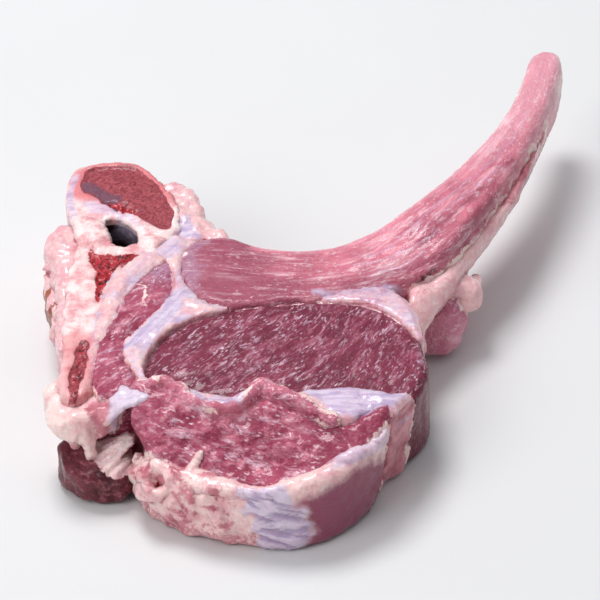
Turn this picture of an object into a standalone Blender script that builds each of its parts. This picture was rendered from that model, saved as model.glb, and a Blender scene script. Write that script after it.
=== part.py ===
"""A raw mutton rib chop lying flat: one slice across the back of the carcass, about 18 mm thick.

Frame: metres, +Z up. The origin is on the surface that the chop rests on, under the middle of its
bounding box. +Y runs from the loin end to the tip of the rib, +X from the backbone to the eye's far side.
The outlines below are in millimetres, as seen from above on the cut face. Each piece runs through the
slice from the top cut to the bottom cut, and neighbours keep a gap of 0.3 mm.
"""

import math

import bmesh
import bpy
import numpy as np
from mathutils import Vector
from mathutils.geometry import delaunay_2d_cdt

MM = 0.001

# Driving dimensions, in millimetres.
SLICE_HEIGHT = 18.0  # thickness of the slice at the seams
GAP = 0.3  # clearance between two pieces that touch
BONE_TOP = 18.2
EYE_TOP = 17.5  # rim of the eye muscle on the rib's side
EYE_DIP = 1.3  # its rim on the cap muscle's side lies this much lower
EYE_FAR_Y = -14.0
EYE_NEAR_Y = -41.0
CAP_LIP = 19.3  # raised inner lip of the cap muscle, along the seam under the eye
CAP_DROP_LEFT = 9.0  # fall of the cap muscle's face from that lip to its outer edge
CAP_DROP_RIGHT = 5.0
CAP_LIP_Y = -41.5
CAP_EDGE_Y = -57.0
CAP_LEFT_X = -6.0
CAP_RIGHT_X = 8.0
RIB_CLEARANCE = 12.4  # height of the rib's underside at its tip
RIB_RISE = 3.5  # rise of the rib's top face from root to tip
RIB_RISE_START = -2.0  # where the rib starts to rise, measured as y + x / 2
RIB_RISE_LENGTH = 26.0
RIB_BONE_HALF = (1.9, 3.0)  # half width in plan and half height of the rib bone
TUCK = 3.5  # how far the bottom of the slice is drawn in under the eye's near right corner
TUCK_X = (3.0, 22.0)
TUCK_Y = (-28.0, -44.0)
JOINT_TOP = 17.4
SIDE_FAT_TOP = 17.2
SIDE_MUSCLE_Z = (7.0, 14.0)
TIP_FAT_Z = (10.6, 16.2)  # the fat at the spine's tip hangs over a hollow
LOW_MUSCLE_TOP = 7.4
EDGE_DROP = 8.0  # the outer edge's fat falls away at its left end
EDGE_DROP_X = (-20.5, -25.0)
CUTTER_Z = (-4.0, 26.0)  # cutters reach past both cut faces

ROUND_MEAT = 1.1  # rounding of a soft piece's rim
ROUND_BONE = 0.5
CROWN_MUSCLE = 0.5  # swelling of a cut face away from its rim
CROWN_FAT = 0.4
CROWN_BONE = 0.3
CROWN_REACH = 5.0  # a cut face is fully swollen this far from its rim
OUTLINE_STEP = 2.6  # spacing of the points along an outline
GRID_STEP = 4.2  # spacing of the points inside a cut face
GRID_MARGIN = 0.45  # clear distance from the rim to the nearest of them, in steps
TUBE_STEP = 3.0  # spacing of the rings along a tube
TUBE_SQUARENESS = 0.75  # 1 gives round sections, less gives squarer ones
TUBE_ENDS = ((0.55, 0.9), (0.9, 0.45))  # size and reach of the rings that round off an end, in half widths

# Outlines: each list holds only the points that steer the curve.
VERTEBRA = [
    (-42.4, 23.6), (-40.6, 26.4), (-34.8, 27.2), (-30.0, 25.8), (-26.6, 21.6), (-23.6, 16.6), (-22.0, 11.0),
    (-21.8, 5.6), (-24.8, 1.4), (-28.4, -6.0), (-31.6, -12.6), (-33.2, -19.0), (-32.8, -28.0), (-33.2, -37.0),
    (-34.4, -41.4), (-37.0, -41.6), (-38.2, -36.0), (-38.4, -26.0), (-39.0, -17.0), (-39.4, -9.0),
    (-39.0, -2.0), (-38.6, 1.5), (-39.6, 6.0), (-41.6, 11.0), (-42.7, 17.5),
]
CANAL = [(-34.9, 9.2), (-32.4, 9.0), (-29.0, 5.6), (-28.2, 2.8), (-30.2, 0.8), (-33.0, 1.8), (-34.2, 5.0)]
EYE = [
    (-24.3, -31.0), (-20.6, -22.6), (-11.2, -16.8), (2.6, -14.2), (13.6, -15.2), (20.2, -20.6), (23.6, -27.0),
    (24.4, -34.0), (20.6, -40.4), (8.0, -39.2), (-7.6, -41.8), (-17.6, -39.0), (-23.4, -36.4),
]
WEDGE_FAT = [
    (-2.0, -39.4), (6.0, -36.0), (16.0, -36.0), (22.6, -38.6), (20.6, -43.4), (14.0, -48.8), (8.0, -50.0),
    (2.0, -46.0),
]
JOINT_FAT = [
    (-26.2, 21.8), (-22.4, 22.4), (-19.6, 20.0), (-18.2, 15.6), (-17.0, 11.6), (-14.0, 8.0), (-11.6, 5.4),
    (-14.6, 3.0), (-20.0, 3.0), (-24.0, 6.0), (-26.0, 14.0),
]
RIB_MEAT = [
    (-18.8, 3.0), (-14.6, 4.4), (-11.2, 4.4), (-7.0, 2.0), (1.0, 0.6), (9.0, 2.0), (16.0, 6.0), (22.0, 12.2),
    (27.0, 19.4), (31.2, 26.6), (34.4, 33.0), (37.4, 41.0), (39.6, 50.0), (40.8, 57.0), (43.4, 58.8),
    (46.0, 57.0), (45.3, 48.0), (42.8, 37.0), (39.8, 26.6), (36.2, 16.4), (32.0, 6.8), (27.4, -1.8),
    (21.6, -7.8), (15.0, -10.2), (8.0, -12.0), (3.0, -15.0), (-4.0, -16.6), (-10.0, -16.4), (-15.4, -14.6),
    (-19.2, -9.6), (-20.4, -2.0),
]
BACK_MUSCLE = [
    (-24.6, -1.4), (-21.4, -5.6), (-21.2, -13.2), (-24.4, -20.0), (-28.0, -26.4), (-27.0, -31.4),
    (-24.8, -36.0), (-25.6, -40.2), (-30.0, -41.2), (-33.0, -36.0), (-33.0, -26.0), (-31.0, -16.0),
    (-27.6, -7.0),
]
CAP_MUSCLE = [
    (-25.0, -39.8), (-21.2, -39.0), (-17.6, -39.8), (-12.6, -44.0), (-7.0, -44.2), (-3.2, -41.4),
    (0.8, -43.2), (5.6, -45.8), (9.6, -48.2), (14.4, -46.2), (18.6, -43.4), (18.6, -47.0), (15.8, -50.8),
    (12.0, -54.0), (6.4, -57.0), (-0.6, -58.2), (-7.6, -57.4), (-14.4, -55.0), (-19.6, -52.0), (-23.8, -47.0),
]
SEAM_FAT = [
    (-26.6, 4.2), (-20.8, 5.6), (-18.0, -2.0), (-16.4, -9.4), (-11.6, -13.4), (-8.0, -17.6), (-8.0, -28.0),
    (-10.0, -34.0), (-3.0, -38.0), (-5.0, -46.0), (-12.0, -47.0), (-20.0, -44.0),
    (-28.6, -36.0), (-30.0, -27.0), (-26.0, -14.0), (-28.0, -4.0),
]
CORNER_FAT = [
    (5.0, -10.6), (14.0, -8.6), (19.6, -12.6), (22.6, -18.6), (23.0, -24.6), (19.0, -23.0), (12.0, -20.0),
    (5.0, -17.0),
]
SIDE_FAT = [
    (-41.6, 10.0), (-44.8, 6.8), (-45.0, 2.0), (-43.0, -2.6), (-41.8, -8.0), (-41.0, -16.0), (-40.2, -24.0),
    (-38.8, -28.0), (-36.0, -24.0), (-36.0, 4.0),
]
SIDE_MUSCLE = [
    (-43.4, 5.4), (-45.0, 2.0), (-44.6, -5.0), (-43.2, -11.0), (-41.4, -15.8), (-39.2, -15.4), (-40.2, -3.0),
]
TIP_FAT = [
    (-38.8, -33.8), (-41.2, -36.4), (-40.4, -40.0), (-38.2, -43.8), (-35.0, -45.8), (-31.8, -44.8),
    (-28.8, -42.8), (-28.8, -39.0), (-35.0, -37.0),
]
LOW_MUSCLE = [
    (-38.2, -39.0), (-38.6, -43.6), (-35.8, -47.8), (-31.0, -49.6), (-26.4, -48.0), (-25.4, -43.6),
    (-31.0, -39.0),
]
EDGE_FAT = [
    (-25.0, -46.4), (-23.2, -51.0), (-18.4, -55.0), (-12.6, -57.8), (-5.0, -60.0), (2.0, -60.4), (8.0, -59.0),
    (13.4, -55.6), (17.2, -51.4), (18.2, -47.2), (4.0, -54.0), (-12.0, -52.0), (-20.0, -48.0),
]

# The rib bone's centre line: x, y, z.
RIB_BONE_LINE = [
    (-13.6, -2.6, 9.4), (-5.0, -5.4, 9.6), (5.0, -5.6, 10.4), (14.4, -2.2, 12.6), (22.4, 5.0, 15.2),
    (29.4, 15.0, 16.6), (35.2, 26.6, 17.0), (39.8, 38.4, 17.0), (42.4, 50.0, 17.0), (43.5, 58.8, 17.0),
]
# The strand of fat that runs down the rib's outer edge and off it: x, y, z, half width, half height.
STRAND_PATH = [
    (43.8, 38.0, 17.0, 0.9, 1.3), (42.4, 31.0, 16.8, 1.1, 1.7), (40.2, 23.0, 16.4, 1.4, 2.0),
    (37.3, 14.8, 15.8, 1.6, 2.2), (33.6, 7.4, 15.0, 1.8, 2.4), (30.2, 1.4, 14.4, 2.0, 2.7),
    (27.0, -3.6, 14.0, 2.2, 2.8), (24.0, -7.4, 13.2, 2.3, 3.0), (21.8, -10.6, 12.0, 2.2, 3.2),
    (21.4, -13.4, 9.5, 1.6, 3.0), (22.2, -16.0, 6.5, 1.0, 2.0),
]
# The small muscle that hangs from the strand down to the surface, and the lobe of fat beside it.
NUB_MUSCLE_PATH = [
    (27.0, 0.8, 11.4, 2.4, 2.2), (26.0, -2.2, 9.2, 3.9, 3.2), (25.2, -4.4, 6.4, 4.5, 3.7),
    (25.0, -5.4, 4.4, 3.9, 3.0),
]
NUB_FAT_PATH = [
    (31.4, 1.8, 12.2, 0.9, 1.2), (31.0, -0.4, 11.6, 1.5, 1.7), (30.4, -2.4, 10.6, 1.8, 2.1),
    (30.0, -3.8, 9.6, 1.5, 1.8),
]

# Colour (linear RGB), roughness and metallic value of each material.
MATERIALS = {
    "bone": ((0.42, 0.10, 0.11), 0.45, 0.0),
    "rib_bone": ((0.74, 0.55, 0.50), 0.40, 0.0),
    "dark_muscle": ((0.21, 0.035, 0.07), 0.35, 0.0),
    "pink_muscle": ((0.46, 0.09, 0.14), 0.35, 0.0),
    "red_muscle": ((0.37, 0.06, 0.10), 0.35, 0.0),
    "fat": ((0.80, 0.62, 0.55), 0.40, 0.0),
    "dry_muscle": ((0.30, 0.09, 0.05), 0.50, 0.0),
}


def smooth(value):
    """Ramp from 0 to 1 without corners."""
    value = np.clip(value, 0.0, 1.0)
    return value * value * (3.0 - 2.0 * value)


def catmull_rom(points, samples, closed):
    """Points on a Catmull-Rom curve through the given ones."""
    points = np.array(points, dtype=float)
    if closed:
        padded = np.vstack([points[-1:], points, points[:2]])
    else:
        padded = np.vstack([2 * points[0] - points[1], points, 2 * points[-1] - points[-2]])
    curve = []
    for before, start, end, after in zip(padded, padded[1:], padded[2:], padded[3:]):
        for t in np.arange(samples) / samples:
            curve.append(0.5 * (
                2 * start + (end - before) * t + (2 * before - 5 * start + 4 * end - after) * t**2
                + (3 * start - before - 3 * end + after) * t**3
            ))
    if not closed:
        curve.append(points[-1])
    return np.array(curve)


def spaced(curve, step, closed):
    """The same curve with points at an even spacing of about one step."""
    if closed:
        curve = np.vstack([curve, curve[:1]])
    length = np.concatenate([[0.0], np.cumsum(np.linalg.norm(np.diff(curve[:, :2], axis=0), axis=1))])
    count = max(8, round(length[-1] / step))
    where = np.linspace(0.0, length[-1], count + 1)
    if closed:
        where = where[:-1]
    return np.stack([np.interp(where, length, column) for column in curve.T], axis=1)


def counter_clockwise(ring):
    area = np.sum(ring[:, 0] * np.roll(ring[:, 1], -1) - np.roll(ring[:, 0], -1) * ring[:, 1])
    return ring if area > 0 else ring[::-1]


def outline_ring(points, step=OUTLINE_STEP):
    return counter_clockwise(spaced(catmull_rom(points, 12, True), step, True))


def moved_out(ring, distance):
    """A closed ring moved outwards, or inwards where the distance is negative."""
    along = np.roll(ring, -1, axis=0) - np.roll(ring, 1, axis=0)
    outward = np.stack([along[:, 1], -along[:, 0]], axis=1)
    return ring + distance * outward / np.linalg.norm(outward, axis=1, keepdims=True)


def distance_to_ring(points, ring):
    """Shortest distance from each point to the ring's edges."""
    start, end = ring[None], np.roll(ring, -1, axis=0)[None]
    along = end - start
    offset = points[:, None] - start
    share = np.clip((offset * along).sum(-1) / (along**2).sum(-1), 0.0, 1.0)
    return np.linalg.norm(offset - share[..., None] * along, axis=-1).min(axis=1)


def inside(points, ring):
    """Whether each point lies inside the ring."""
    x, y = points[:, 0, None], points[:, 1, None]
    x0, y0 = ring[None, :, 0], ring[None, :, 1]
    x1, y1 = np.roll(x0, -1), np.roll(y0, -1)
    rise = np.where(y1 == y0, 1.0, y1 - y0)
    crossed = ((y0 > y) != (y1 > y)) & (x < x0 + (y - y0) * (x1 - x0) / rise)
    return crossed.sum(axis=1) % 2 == 1


def grid_inside(ring, step):
    """Points of a triangular grid that lie well inside a ring."""
    low, high = ring.min(axis=0), ring.max(axis=0)
    rows = []
    for row, y in enumerate(np.arange(low[1], high[1], step * math.sqrt(0.75))):
        shift = 0.5 * step * (row % 2)
        rows.extend((x, y) for x in np.arange(low[0] + shift, high[0], step))
    rows = np.array(rows)
    rows = rows[inside(rows, ring)]
    return rows[distance_to_ring(rows, ring) > GRID_MARGIN * step]


def make_object(name, verts, faces, material):
    """A named object from points in millimetres, with its faces turned outwards."""
    mesh = bpy.data.meshes.new(name)
    mesh.from_pydata([Vector(point) * MM for point in verts], [], [list(map(int, face)) for face in faces])
    work = bmesh.new()
    work.from_mesh(mesh)
    bmesh.ops.remove_doubles(work, verts=work.verts, dist=1e-6)
    bmesh.ops.triangulate(work, faces=work.faces)
    bmesh.ops.recalc_face_normals(work, faces=work.faces)
    work.to_mesh(mesh)
    work.free()
    piece = bpy.data.objects.new(name, mesh)
    bpy.context.collection.objects.link(piece)
    if material:
        mesh.materials.append(surface(material))
    return piece


def surface(name):
    """The named Principled material, made on first use."""
    material = bpy.data.materials.get(name)
    if material is None:
        colour, roughness, metallic = MATERIALS[name]
        material = bpy.data.materials.new(name)
        material.use_nodes = True
        shader = material.node_tree.nodes["Principled BSDF"]
        shader.inputs["Base Color"].default_value = (*colour, 1.0)
        shader.inputs["Roughness"].default_value = roughness
        shader.inputs["Metallic"].default_value = metallic
    return material


def slab(name, points, top, bottom, rim, material):
    """A piece of the slice: an outline between a top and a bottom height, with a rounded rim.

    top and bottom are functions of (x, y, distance from the rim) that give heights.
    """
    ring = outline_ring(points)
    inner = moved_out(ring, -rim)
    grid = grid_inside(inner, GRID_STEP)
    face = np.vstack([inner, grid])
    depth = distance_to_ring(face, ring)
    count = len(ring)
    edge = [(i, (i + 1) % count) for i in range(count)]
    flat, _, triangles, origin, _, _ = delaunay_2d_cdt([Vector(p) for p in face], edge, [], 1, 1e-5)
    keep = [tuple(origin[v][0] for v in triangle) for triangle in triangles]
    rim_depth = np.zeros(count)
    levels = [
        (inner, bottom(inner[:, 0], inner[:, 1], rim_depth)),
        (ring, bottom(ring[:, 0], ring[:, 1], rim_depth) + rim),
        (ring, top(ring[:, 0], ring[:, 1], rim_depth) - rim),
    ]
    verts = [(x, y, z) for level, heights in levels for (x, y), z in zip(level, heights)]
    faces = []
    for level in range(2):
        faces += [(level * count + a, level * count + b, (level + 1) * count + b, (level + 1) * count + a)
                  for a, b in edge]
    start_top = len(verts)
    verts += [(x, y, z) for (x, y), z in zip(face, top(face[:, 0], face[:, 1], depth - rim))]
    faces += [(2 * count + a, 2 * count + b, start_top + b, start_top + a) for a, b in edge]
    faces += [tuple(start_top + v for v in triangle) for triangle in keep]
    start_grid = len(verts)
    low_grid = bottom(grid[:, 0], grid[:, 1], depth[count:] - rim)
    verts += [(x, y, z) for (x, y), z in zip(grid, low_grid)]
    faces += [tuple(v if v < count else start_grid + v - count for v in triangle) for triangle in keep]
    return make_object(name, verts, faces, material)


def tube(name, path, material, sides=12):
    """A solid along a path of (x, y, z, half width, half height), with squarish sections and rounded ends."""
    line = spaced(catmull_rom(path, 10, False), TUBE_STEP, False)
    along = np.gradient(line[:, :3], axis=0)
    along /= np.linalg.norm(along, axis=1, keepdims=True)
    start = [(line[0], along[0], -reach, size) for size, reach in TUBE_ENDS]
    middle = [(row, way, 0.0, 1.0) for row, way in zip(line, along)]
    end = [(line[-1], along[-1], reach, size) for size, reach in reversed(TUBE_ENDS)]
    angles = 2 * math.pi * (np.arange(sides) + 0.5) / sides
    across = np.sign(np.cos(angles)) * np.abs(np.cos(angles)) ** TUBE_SQUARENESS
    height = np.sign(np.sin(angles)) * np.abs(np.sin(angles)) ** TUBE_SQUARENESS
    verts = []
    for row, way, reach, size in start + middle + end:
        half_width, half_height = size * row[3:]
        centre = row[:3] + reach * row[3] * way
        sideways = np.array([way[1], -way[0], 0.0])
        sideways /= np.linalg.norm(sideways)
        upward = np.cross(sideways, way)
        for a, h in zip(across, height):
            verts.append(centre + a * half_width * sideways + h * half_height * upward)
    faces = []
    for first in range(0, len(verts) - sides, sides):
        faces += [(first + i, first + (i + 1) % sides, first + sides + (i + 1) % sides, first + sides + i)
                  for i in range(sides)]
    faces.append(range(sides))
    faces.append(range(len(verts) - sides, len(verts)))
    return make_object(name, verts, faces, material)


def grown(path):
    """A tube's path with its half sizes grown by the clearance."""
    return [(x, y, z, width + GAP, height + GAP) for x, y, z, width, height in path]


def room_for(name, points):
    """A cutter that leaves the clearance round a neighbour."""
    return prism(f"{name}_room", points, GAP)


def prism(name, points, grow):
    """A straight cutter through the whole slice, grown by a clearance."""
    ring = moved_out(outline_ring(points), grow)
    count = len(ring)
    low, high = CUTTER_Z
    verts = [(x, y, low) for x, y in ring] + [(x, y, high) for x, y in ring]
    faces = [(i, (i + 1) % count, count + (i + 1) % count, count + i) for i in range(count)]
    faces.append(range(count))
    faces.append(range(count, 2 * count))
    return make_object(name, verts, faces, None)


def take_away(piece, cutters):
    """Cut each cutter out of a piece, and keep the piece's one large body."""
    for cutter in cutters:
        cutter.hide_render = True
        cutter.display_type = "WIRE"
        modifier = piece.modifiers.new(cutter.name, "BOOLEAN")
        modifier.operation = "DIFFERENCE"
        modifier.object = cutter
    graph = bpy.context.evaluated_depsgraph_get()
    result = bpy.data.meshes.new_from_object(piece.evaluated_get(graph))
    piece.modifiers.clear()
    piece.data = result
    result.name = piece.name
    for cutter in cutters:
        bpy.data.objects.remove(cutter)
    keep_largest_body(result)


def keep_largest_body(mesh):
    """Delete slivers that a cut leaves beside the main body, and points that almost coincide."""
    work = bmesh.new()
    work.from_mesh(mesh)
    bmesh.ops.triangulate(work, faces=work.faces)
    bmesh.ops.dissolve_degenerate(work, dist=0.02 * MM, edges=work.edges)
    bmesh.ops.triangulate(work, faces=work.faces)
    bodies, seen = [], set()
    for seed in work.verts:
        if seed in seen:
            continue
        seen.add(seed)
        body, front = [], [seed]
        while front:
            vert = front.pop()
            body.append(vert)
            for edge in vert.link_edges:
                other = edge.other_vert(vert)
                if other not in seen:
                    seen.add(other)
                    front.append(other)
        bodies.append(body)
    bodies.sort(key=len)
    for body in bodies[:-1]:
        bmesh.ops.delete(work, geom=body, context="VERTS")
    bmesh.ops.recalc_face_normals(work, faces=work.faces)
    work.to_mesh(mesh)
    work.free()


def rib_share(x, y):
    """0 along the slice, rising to 1 at the tip of the rib."""
    return smooth((y + 0.5 * x - RIB_RISE_START) / RIB_RISE_LENGTH)


def level(height, crown=0.0):
    """A cut face at one height that swells away from its rim."""
    return lambda x, y, depth: height + crown * smooth(depth / CROWN_REACH)


def floor_level(x, y, depth):
    return np.zeros_like(x)


def eye_top(x, y, depth):
    across = smooth((EYE_FAR_Y - y) / (EYE_FAR_Y - EYE_NEAR_Y))
    return EYE_TOP - EYE_DIP * across + CROWN_MUSCLE * smooth(depth / CROWN_REACH)


def rib_top(x, y, depth):
    return SLICE_HEIGHT + RIB_RISE * rib_share(x, y) + CROWN_MUSCLE * smooth(depth / CROWN_REACH)


def rib_bottom(x, y, depth):
    return RIB_CLEARANCE * rib_share(x, y)


def cap_top(x, y, depth):
    right = smooth((x - CAP_LEFT_X) / (CAP_RIGHT_X - CAP_LEFT_X))
    drop = CAP_DROP_LEFT + (CAP_DROP_RIGHT - CAP_DROP_LEFT) * right
    return CAP_LIP - drop * smooth((CAP_LIP_Y - y) / (CAP_LIP_Y - CAP_EDGE_Y))


def edge_top(x, y, depth):
    start, end = EDGE_DROP_X
    return cap_top(x, y, depth) - EDGE_DROP * smooth((x - start) / (end - start))


def tuck_in(piece):
    """Draw the low part of a piece in under the eye's near right corner."""
    for vert in piece.data.vertices:
        x, y, z = (value / MM for value in vert.co)
        share_x = smooth((x - TUCK_X[0]) / (TUCK_X[1] - TUCK_X[0]))
        share_y = smooth((y - TUCK_Y[0]) / (TUCK_Y[1] - TUCK_Y[0]))
        vert.co.x -= TUCK * MM * share_x * share_y * (1.0 - z / SLICE_HEIGHT)


def build_bones():
    vertebra = slab("vertebra", VERTEBRA, level(BONE_TOP, CROWN_BONE), floor_level, ROUND_BONE, "bone")
    take_away(vertebra, [prism("canal", CANAL, 0.0)])
    tube("rib_bone", rib_bone_path(), "rib_bone")


def rib_bone_path():
    return [(*point, *RIB_BONE_HALF) for point in RIB_BONE_LINE]


def build_muscles():
    slab("eye_muscle", EYE, eye_top, floor_level, ROUND_MEAT, "dark_muscle")
    rib_meat = slab("rib_meat", RIB_MEAT, rib_top, rib_bottom, ROUND_MEAT, "pink_muscle")
    channel = tube("channel", grown(rib_bone_path()), None)
    take_away(rib_meat, [room_for("vertebra", VERTEBRA), room_for("eye", EYE), channel])
    flat = level(SLICE_HEIGHT, CROWN_MUSCLE)
    back = slab("back_muscle", BACK_MUSCLE, flat, floor_level, ROUND_MEAT, "red_muscle")
    take_away(back, [room_for("vertebra", VERTEBRA), room_for("eye", EYE), room_for("rib", RIB_MEAT)])
    cap = slab("cap_muscle", CAP_MUSCLE, cap_top, floor_level, ROUND_MEAT, "red_muscle")
    take_away(cap, [room_for("eye", EYE), room_for("back", BACK_MUSCLE)])
    low_top = level(LOW_MUSCLE_TOP, CROWN_MUSCLE)
    low = slab("low_muscle", LOW_MUSCLE, low_top, floor_level, ROUND_MEAT, "dark_muscle")
    take_away(low, [room_for("vertebra", VERTEBRA), room_for("back", BACK_MUSCLE),
                    room_for("cap", CAP_MUSCLE)])
    side_bottom, side_top = (level(height) for height in SIDE_MUSCLE_Z)
    side = slab("side_muscle", SIDE_MUSCLE, side_top, side_bottom, ROUND_MEAT, "dry_muscle")
    take_away(side, [room_for("side_fat", SIDE_FAT), room_for("vertebra", VERTEBRA)])


def build_fat():
    flat = level(SLICE_HEIGHT, CROWN_FAT)
    seam = slab("seam_fat", SEAM_FAT, flat, floor_level, ROUND_MEAT, "fat")
    take_away(seam, [room_for("vertebra", VERTEBRA), room_for("eye", EYE), room_for("rib", RIB_MEAT),
                     room_for("back", BACK_MUSCLE), room_for("cap", CAP_MUSCLE)])
    corner = slab("corner_fat", CORNER_FAT, flat, floor_level, ROUND_MEAT, "fat")
    take_away(corner, [room_for("eye", EYE), room_for("rib", RIB_MEAT)])
    wedge = slab("wedge_fat", WEDGE_FAT, flat, floor_level, ROUND_MEAT, "fat")
    take_away(wedge, [room_for("eye", EYE), room_for("cap", CAP_MUSCLE), room_for("seam", SEAM_FAT)])
    joint = slab("joint_fat", JOINT_FAT, level(JOINT_TOP, CROWN_FAT), floor_level, ROUND_MEAT, "fat")
    take_away(joint, [room_for("vertebra", VERTEBRA), room_for("rib", RIB_MEAT), room_for("seam", SEAM_FAT)])
    side = slab("side_fat", SIDE_FAT, level(SIDE_FAT_TOP, CROWN_FAT), floor_level, ROUND_MEAT, "fat")
    take_away(side, [room_for("vertebra", VERTEBRA)])
    tip_bottom, tip_top = (level(height) for height in TIP_FAT_Z)
    tip = slab("tip_fat", TIP_FAT, tip_top, tip_bottom, ROUND_MEAT, "fat")
    take_away(tip, [room_for("vertebra", VERTEBRA), room_for("back", BACK_MUSCLE)])
    edge = slab("edge_fat", EDGE_FAT, edge_top, floor_level, ROUND_MEAT, "fat")
    take_away(edge, [room_for("cap", CAP_MUSCLE), room_for("back", BACK_MUSCLE),
                     room_for("low", LOW_MUSCLE)])


def build_tail():
    strand = tube("tail_strand", STRAND_PATH, "fat", sides=10)
    take_away(strand, [room_for("rib", RIB_MEAT), room_for("eye", EYE), room_for("corner", CORNER_FAT)])
    muscle = tube("tail_muscle", NUB_MUSCLE_PATH, "dark_muscle", sides=10)
    take_away(muscle, [room_for("eye", EYE), room_for("rib", RIB_MEAT), strand_room()])
    lobe = tube("tail_fat", NUB_FAT_PATH, "fat", sides=10)
    muscle_room = tube("muscle_room", grown(NUB_MUSCLE_PATH), None, sides=10)
    take_away(lobe, [room_for("rib", RIB_MEAT), strand_room(), muscle_room])


def strand_room():
    return tube("strand_room", grown(STRAND_PATH), None, sides=10)


def main():
    for old in list(bpy.data.objects):
        bpy.data.objects.remove(old)
    build_bones()
    build_muscles()
    build_fat()
    build_tail()
    for name in ("eye_muscle", "cap_muscle", "wedge_fat", "edge_fat"):
        tuck_in(bpy.data.objects[name])


main()
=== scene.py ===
"""The looks of a raw mutton rib chop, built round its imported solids.

Every solid is replaced by a piece with a fine skin: a copy of the solid and of any small strands on it is
melted into one closed mesh, softened, and pushed in and out by fields of its own place. The same fields
are painted on the points, and the materials read them. Shapes are worked out in millimetres, in the row
frame: +Y runs to the tip of the rib, +X away from the backbone, +Z up from the surface.
"""

import itertools
import math

import bmesh
import bpy
import numpy as np
from mathutils import Matrix, Vector
from mathutils.bvhtree import BVHTree
from mathutils.kdtree import KDTree


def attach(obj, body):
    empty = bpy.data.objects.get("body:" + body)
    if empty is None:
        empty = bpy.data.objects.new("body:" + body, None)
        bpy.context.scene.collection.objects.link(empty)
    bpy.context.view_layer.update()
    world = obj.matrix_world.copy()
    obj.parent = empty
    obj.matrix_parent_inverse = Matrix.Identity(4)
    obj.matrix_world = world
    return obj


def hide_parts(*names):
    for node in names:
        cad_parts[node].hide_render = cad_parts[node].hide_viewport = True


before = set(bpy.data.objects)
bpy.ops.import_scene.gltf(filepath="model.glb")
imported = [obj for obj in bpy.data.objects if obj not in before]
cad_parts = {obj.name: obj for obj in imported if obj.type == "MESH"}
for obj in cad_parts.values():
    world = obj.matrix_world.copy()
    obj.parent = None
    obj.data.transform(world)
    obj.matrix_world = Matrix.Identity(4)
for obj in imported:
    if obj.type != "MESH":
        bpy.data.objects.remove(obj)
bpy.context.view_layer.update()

MM = 0.001
BODY = "root"

# The view: from in front of the backbone's spine, looking down on the cut face.
VIEW_TARGET = (0.75, -4.97, 11.0)
VIEW_AZIMUTH = 5.37
VIEW_ELEVATION = 36.96
VIEW_DISTANCE = 765.9
VIEW_ROLL = -3.23
LENS = 259.0
CEILING = {"From Min": 0.60, "From Max": 0.96, "To Min": 0.33, "To Max": 0.84}  # light over height

FLOOR_CLEARANCE = 0.03  # the least height of a piece's points
REACH = 4.0  # how far outside an outline its distance is still worked out
BLOCK = 20000  # how many points are measured against a line at once
STRAND_SIDES = 10
STRAND_START = (0.31, 0.17, 0.93)  # a direction that no strand runs in


# ---------------------------------------------------------------- fields


def smooth(value):
    """Ramp from 0 to 1 without corners."""
    value = np.clip(value, 0.0, 1.0)
    return value * value * (3.0 - 2.0 * value)


def ramp(value, start, end):
    """0 up to start, 1 from end on, without corners between; start may lie above end."""
    return smooth((value - start) / (end - start))


GRADIENTS = np.random.default_rng(11).normal(size=(1024, 3))
GRADIENTS /= np.linalg.norm(GRADIENTS, axis=1, keepdims=True)
HASH_STEPS = np.array([374761393, 668265263, 2246822519], dtype=np.uint64)


def noise(points, size, seed):
    """Lumps about one size across, from about -1 to 1."""
    cell = np.asarray(points) / size
    base = np.floor(cell)
    local = cell - base
    base = base.astype(np.int64).astype(np.uint64)
    fade = local**3 * (local * (local * 6.0 - 15.0) + 10.0)
    total = np.zeros(len(cell))
    for corner in itertools.product((0, 1), repeat=3):
        mixed = ((base + np.array(corner, dtype=np.uint64)) * HASH_STEPS).sum(axis=1)
        mixed = mixed + np.uint64(seed * 974711)
        mixed = (mixed ^ (mixed >> np.uint64(15))) * np.uint64(2654435761)
        pick = ((mixed ^ (mixed >> np.uint64(29))) % np.uint64(len(GRADIENTS))).astype(np.int64)
        weight = np.prod(np.where(corner, fade, 1.0 - fade), axis=1)
        total += weight * ((local - corner) * GRADIENTS[pick]).sum(axis=1)
    return 1.6 * total


def rough(points, size, seed, octaves=3):
    """Noise with finer and weaker noise on top."""
    return sum(noise(points, size / 2**k, seed + k) / 2**k for k in range(octaves))


def ridged(points, size, seed):
    """Sharp crests about one size apart, from 0 to 1."""
    return 1.0 - np.clip(np.abs(noise(points, size, seed)) * 1.6, 0.0, 1.0)


def curve_through(points, closed=False, samples=12):
    """Points on a Catmull-Rom curve through the given ones."""
    points = np.array(points, dtype=float)
    if closed:
        padded = np.vstack([points[-1:], points, points[:2]])
    else:
        padded = np.vstack([2 * points[0] - points[1], points, 2 * points[-1] - points[-2]])
    curve = []
    for before, start, end, after in zip(padded, padded[1:], padded[2:], padded[3:]):
        for t in np.arange(samples) / samples:
            curve.append(0.5 * (
                2 * start + (end - before) * t + (2 * before - 5 * start + 4 * end - after) * t**2
                + (3 * start - before - 3 * end + after) * t**3
            ))
    if not closed:
        curve.append(points[-1])
    return np.array(curve)


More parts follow.
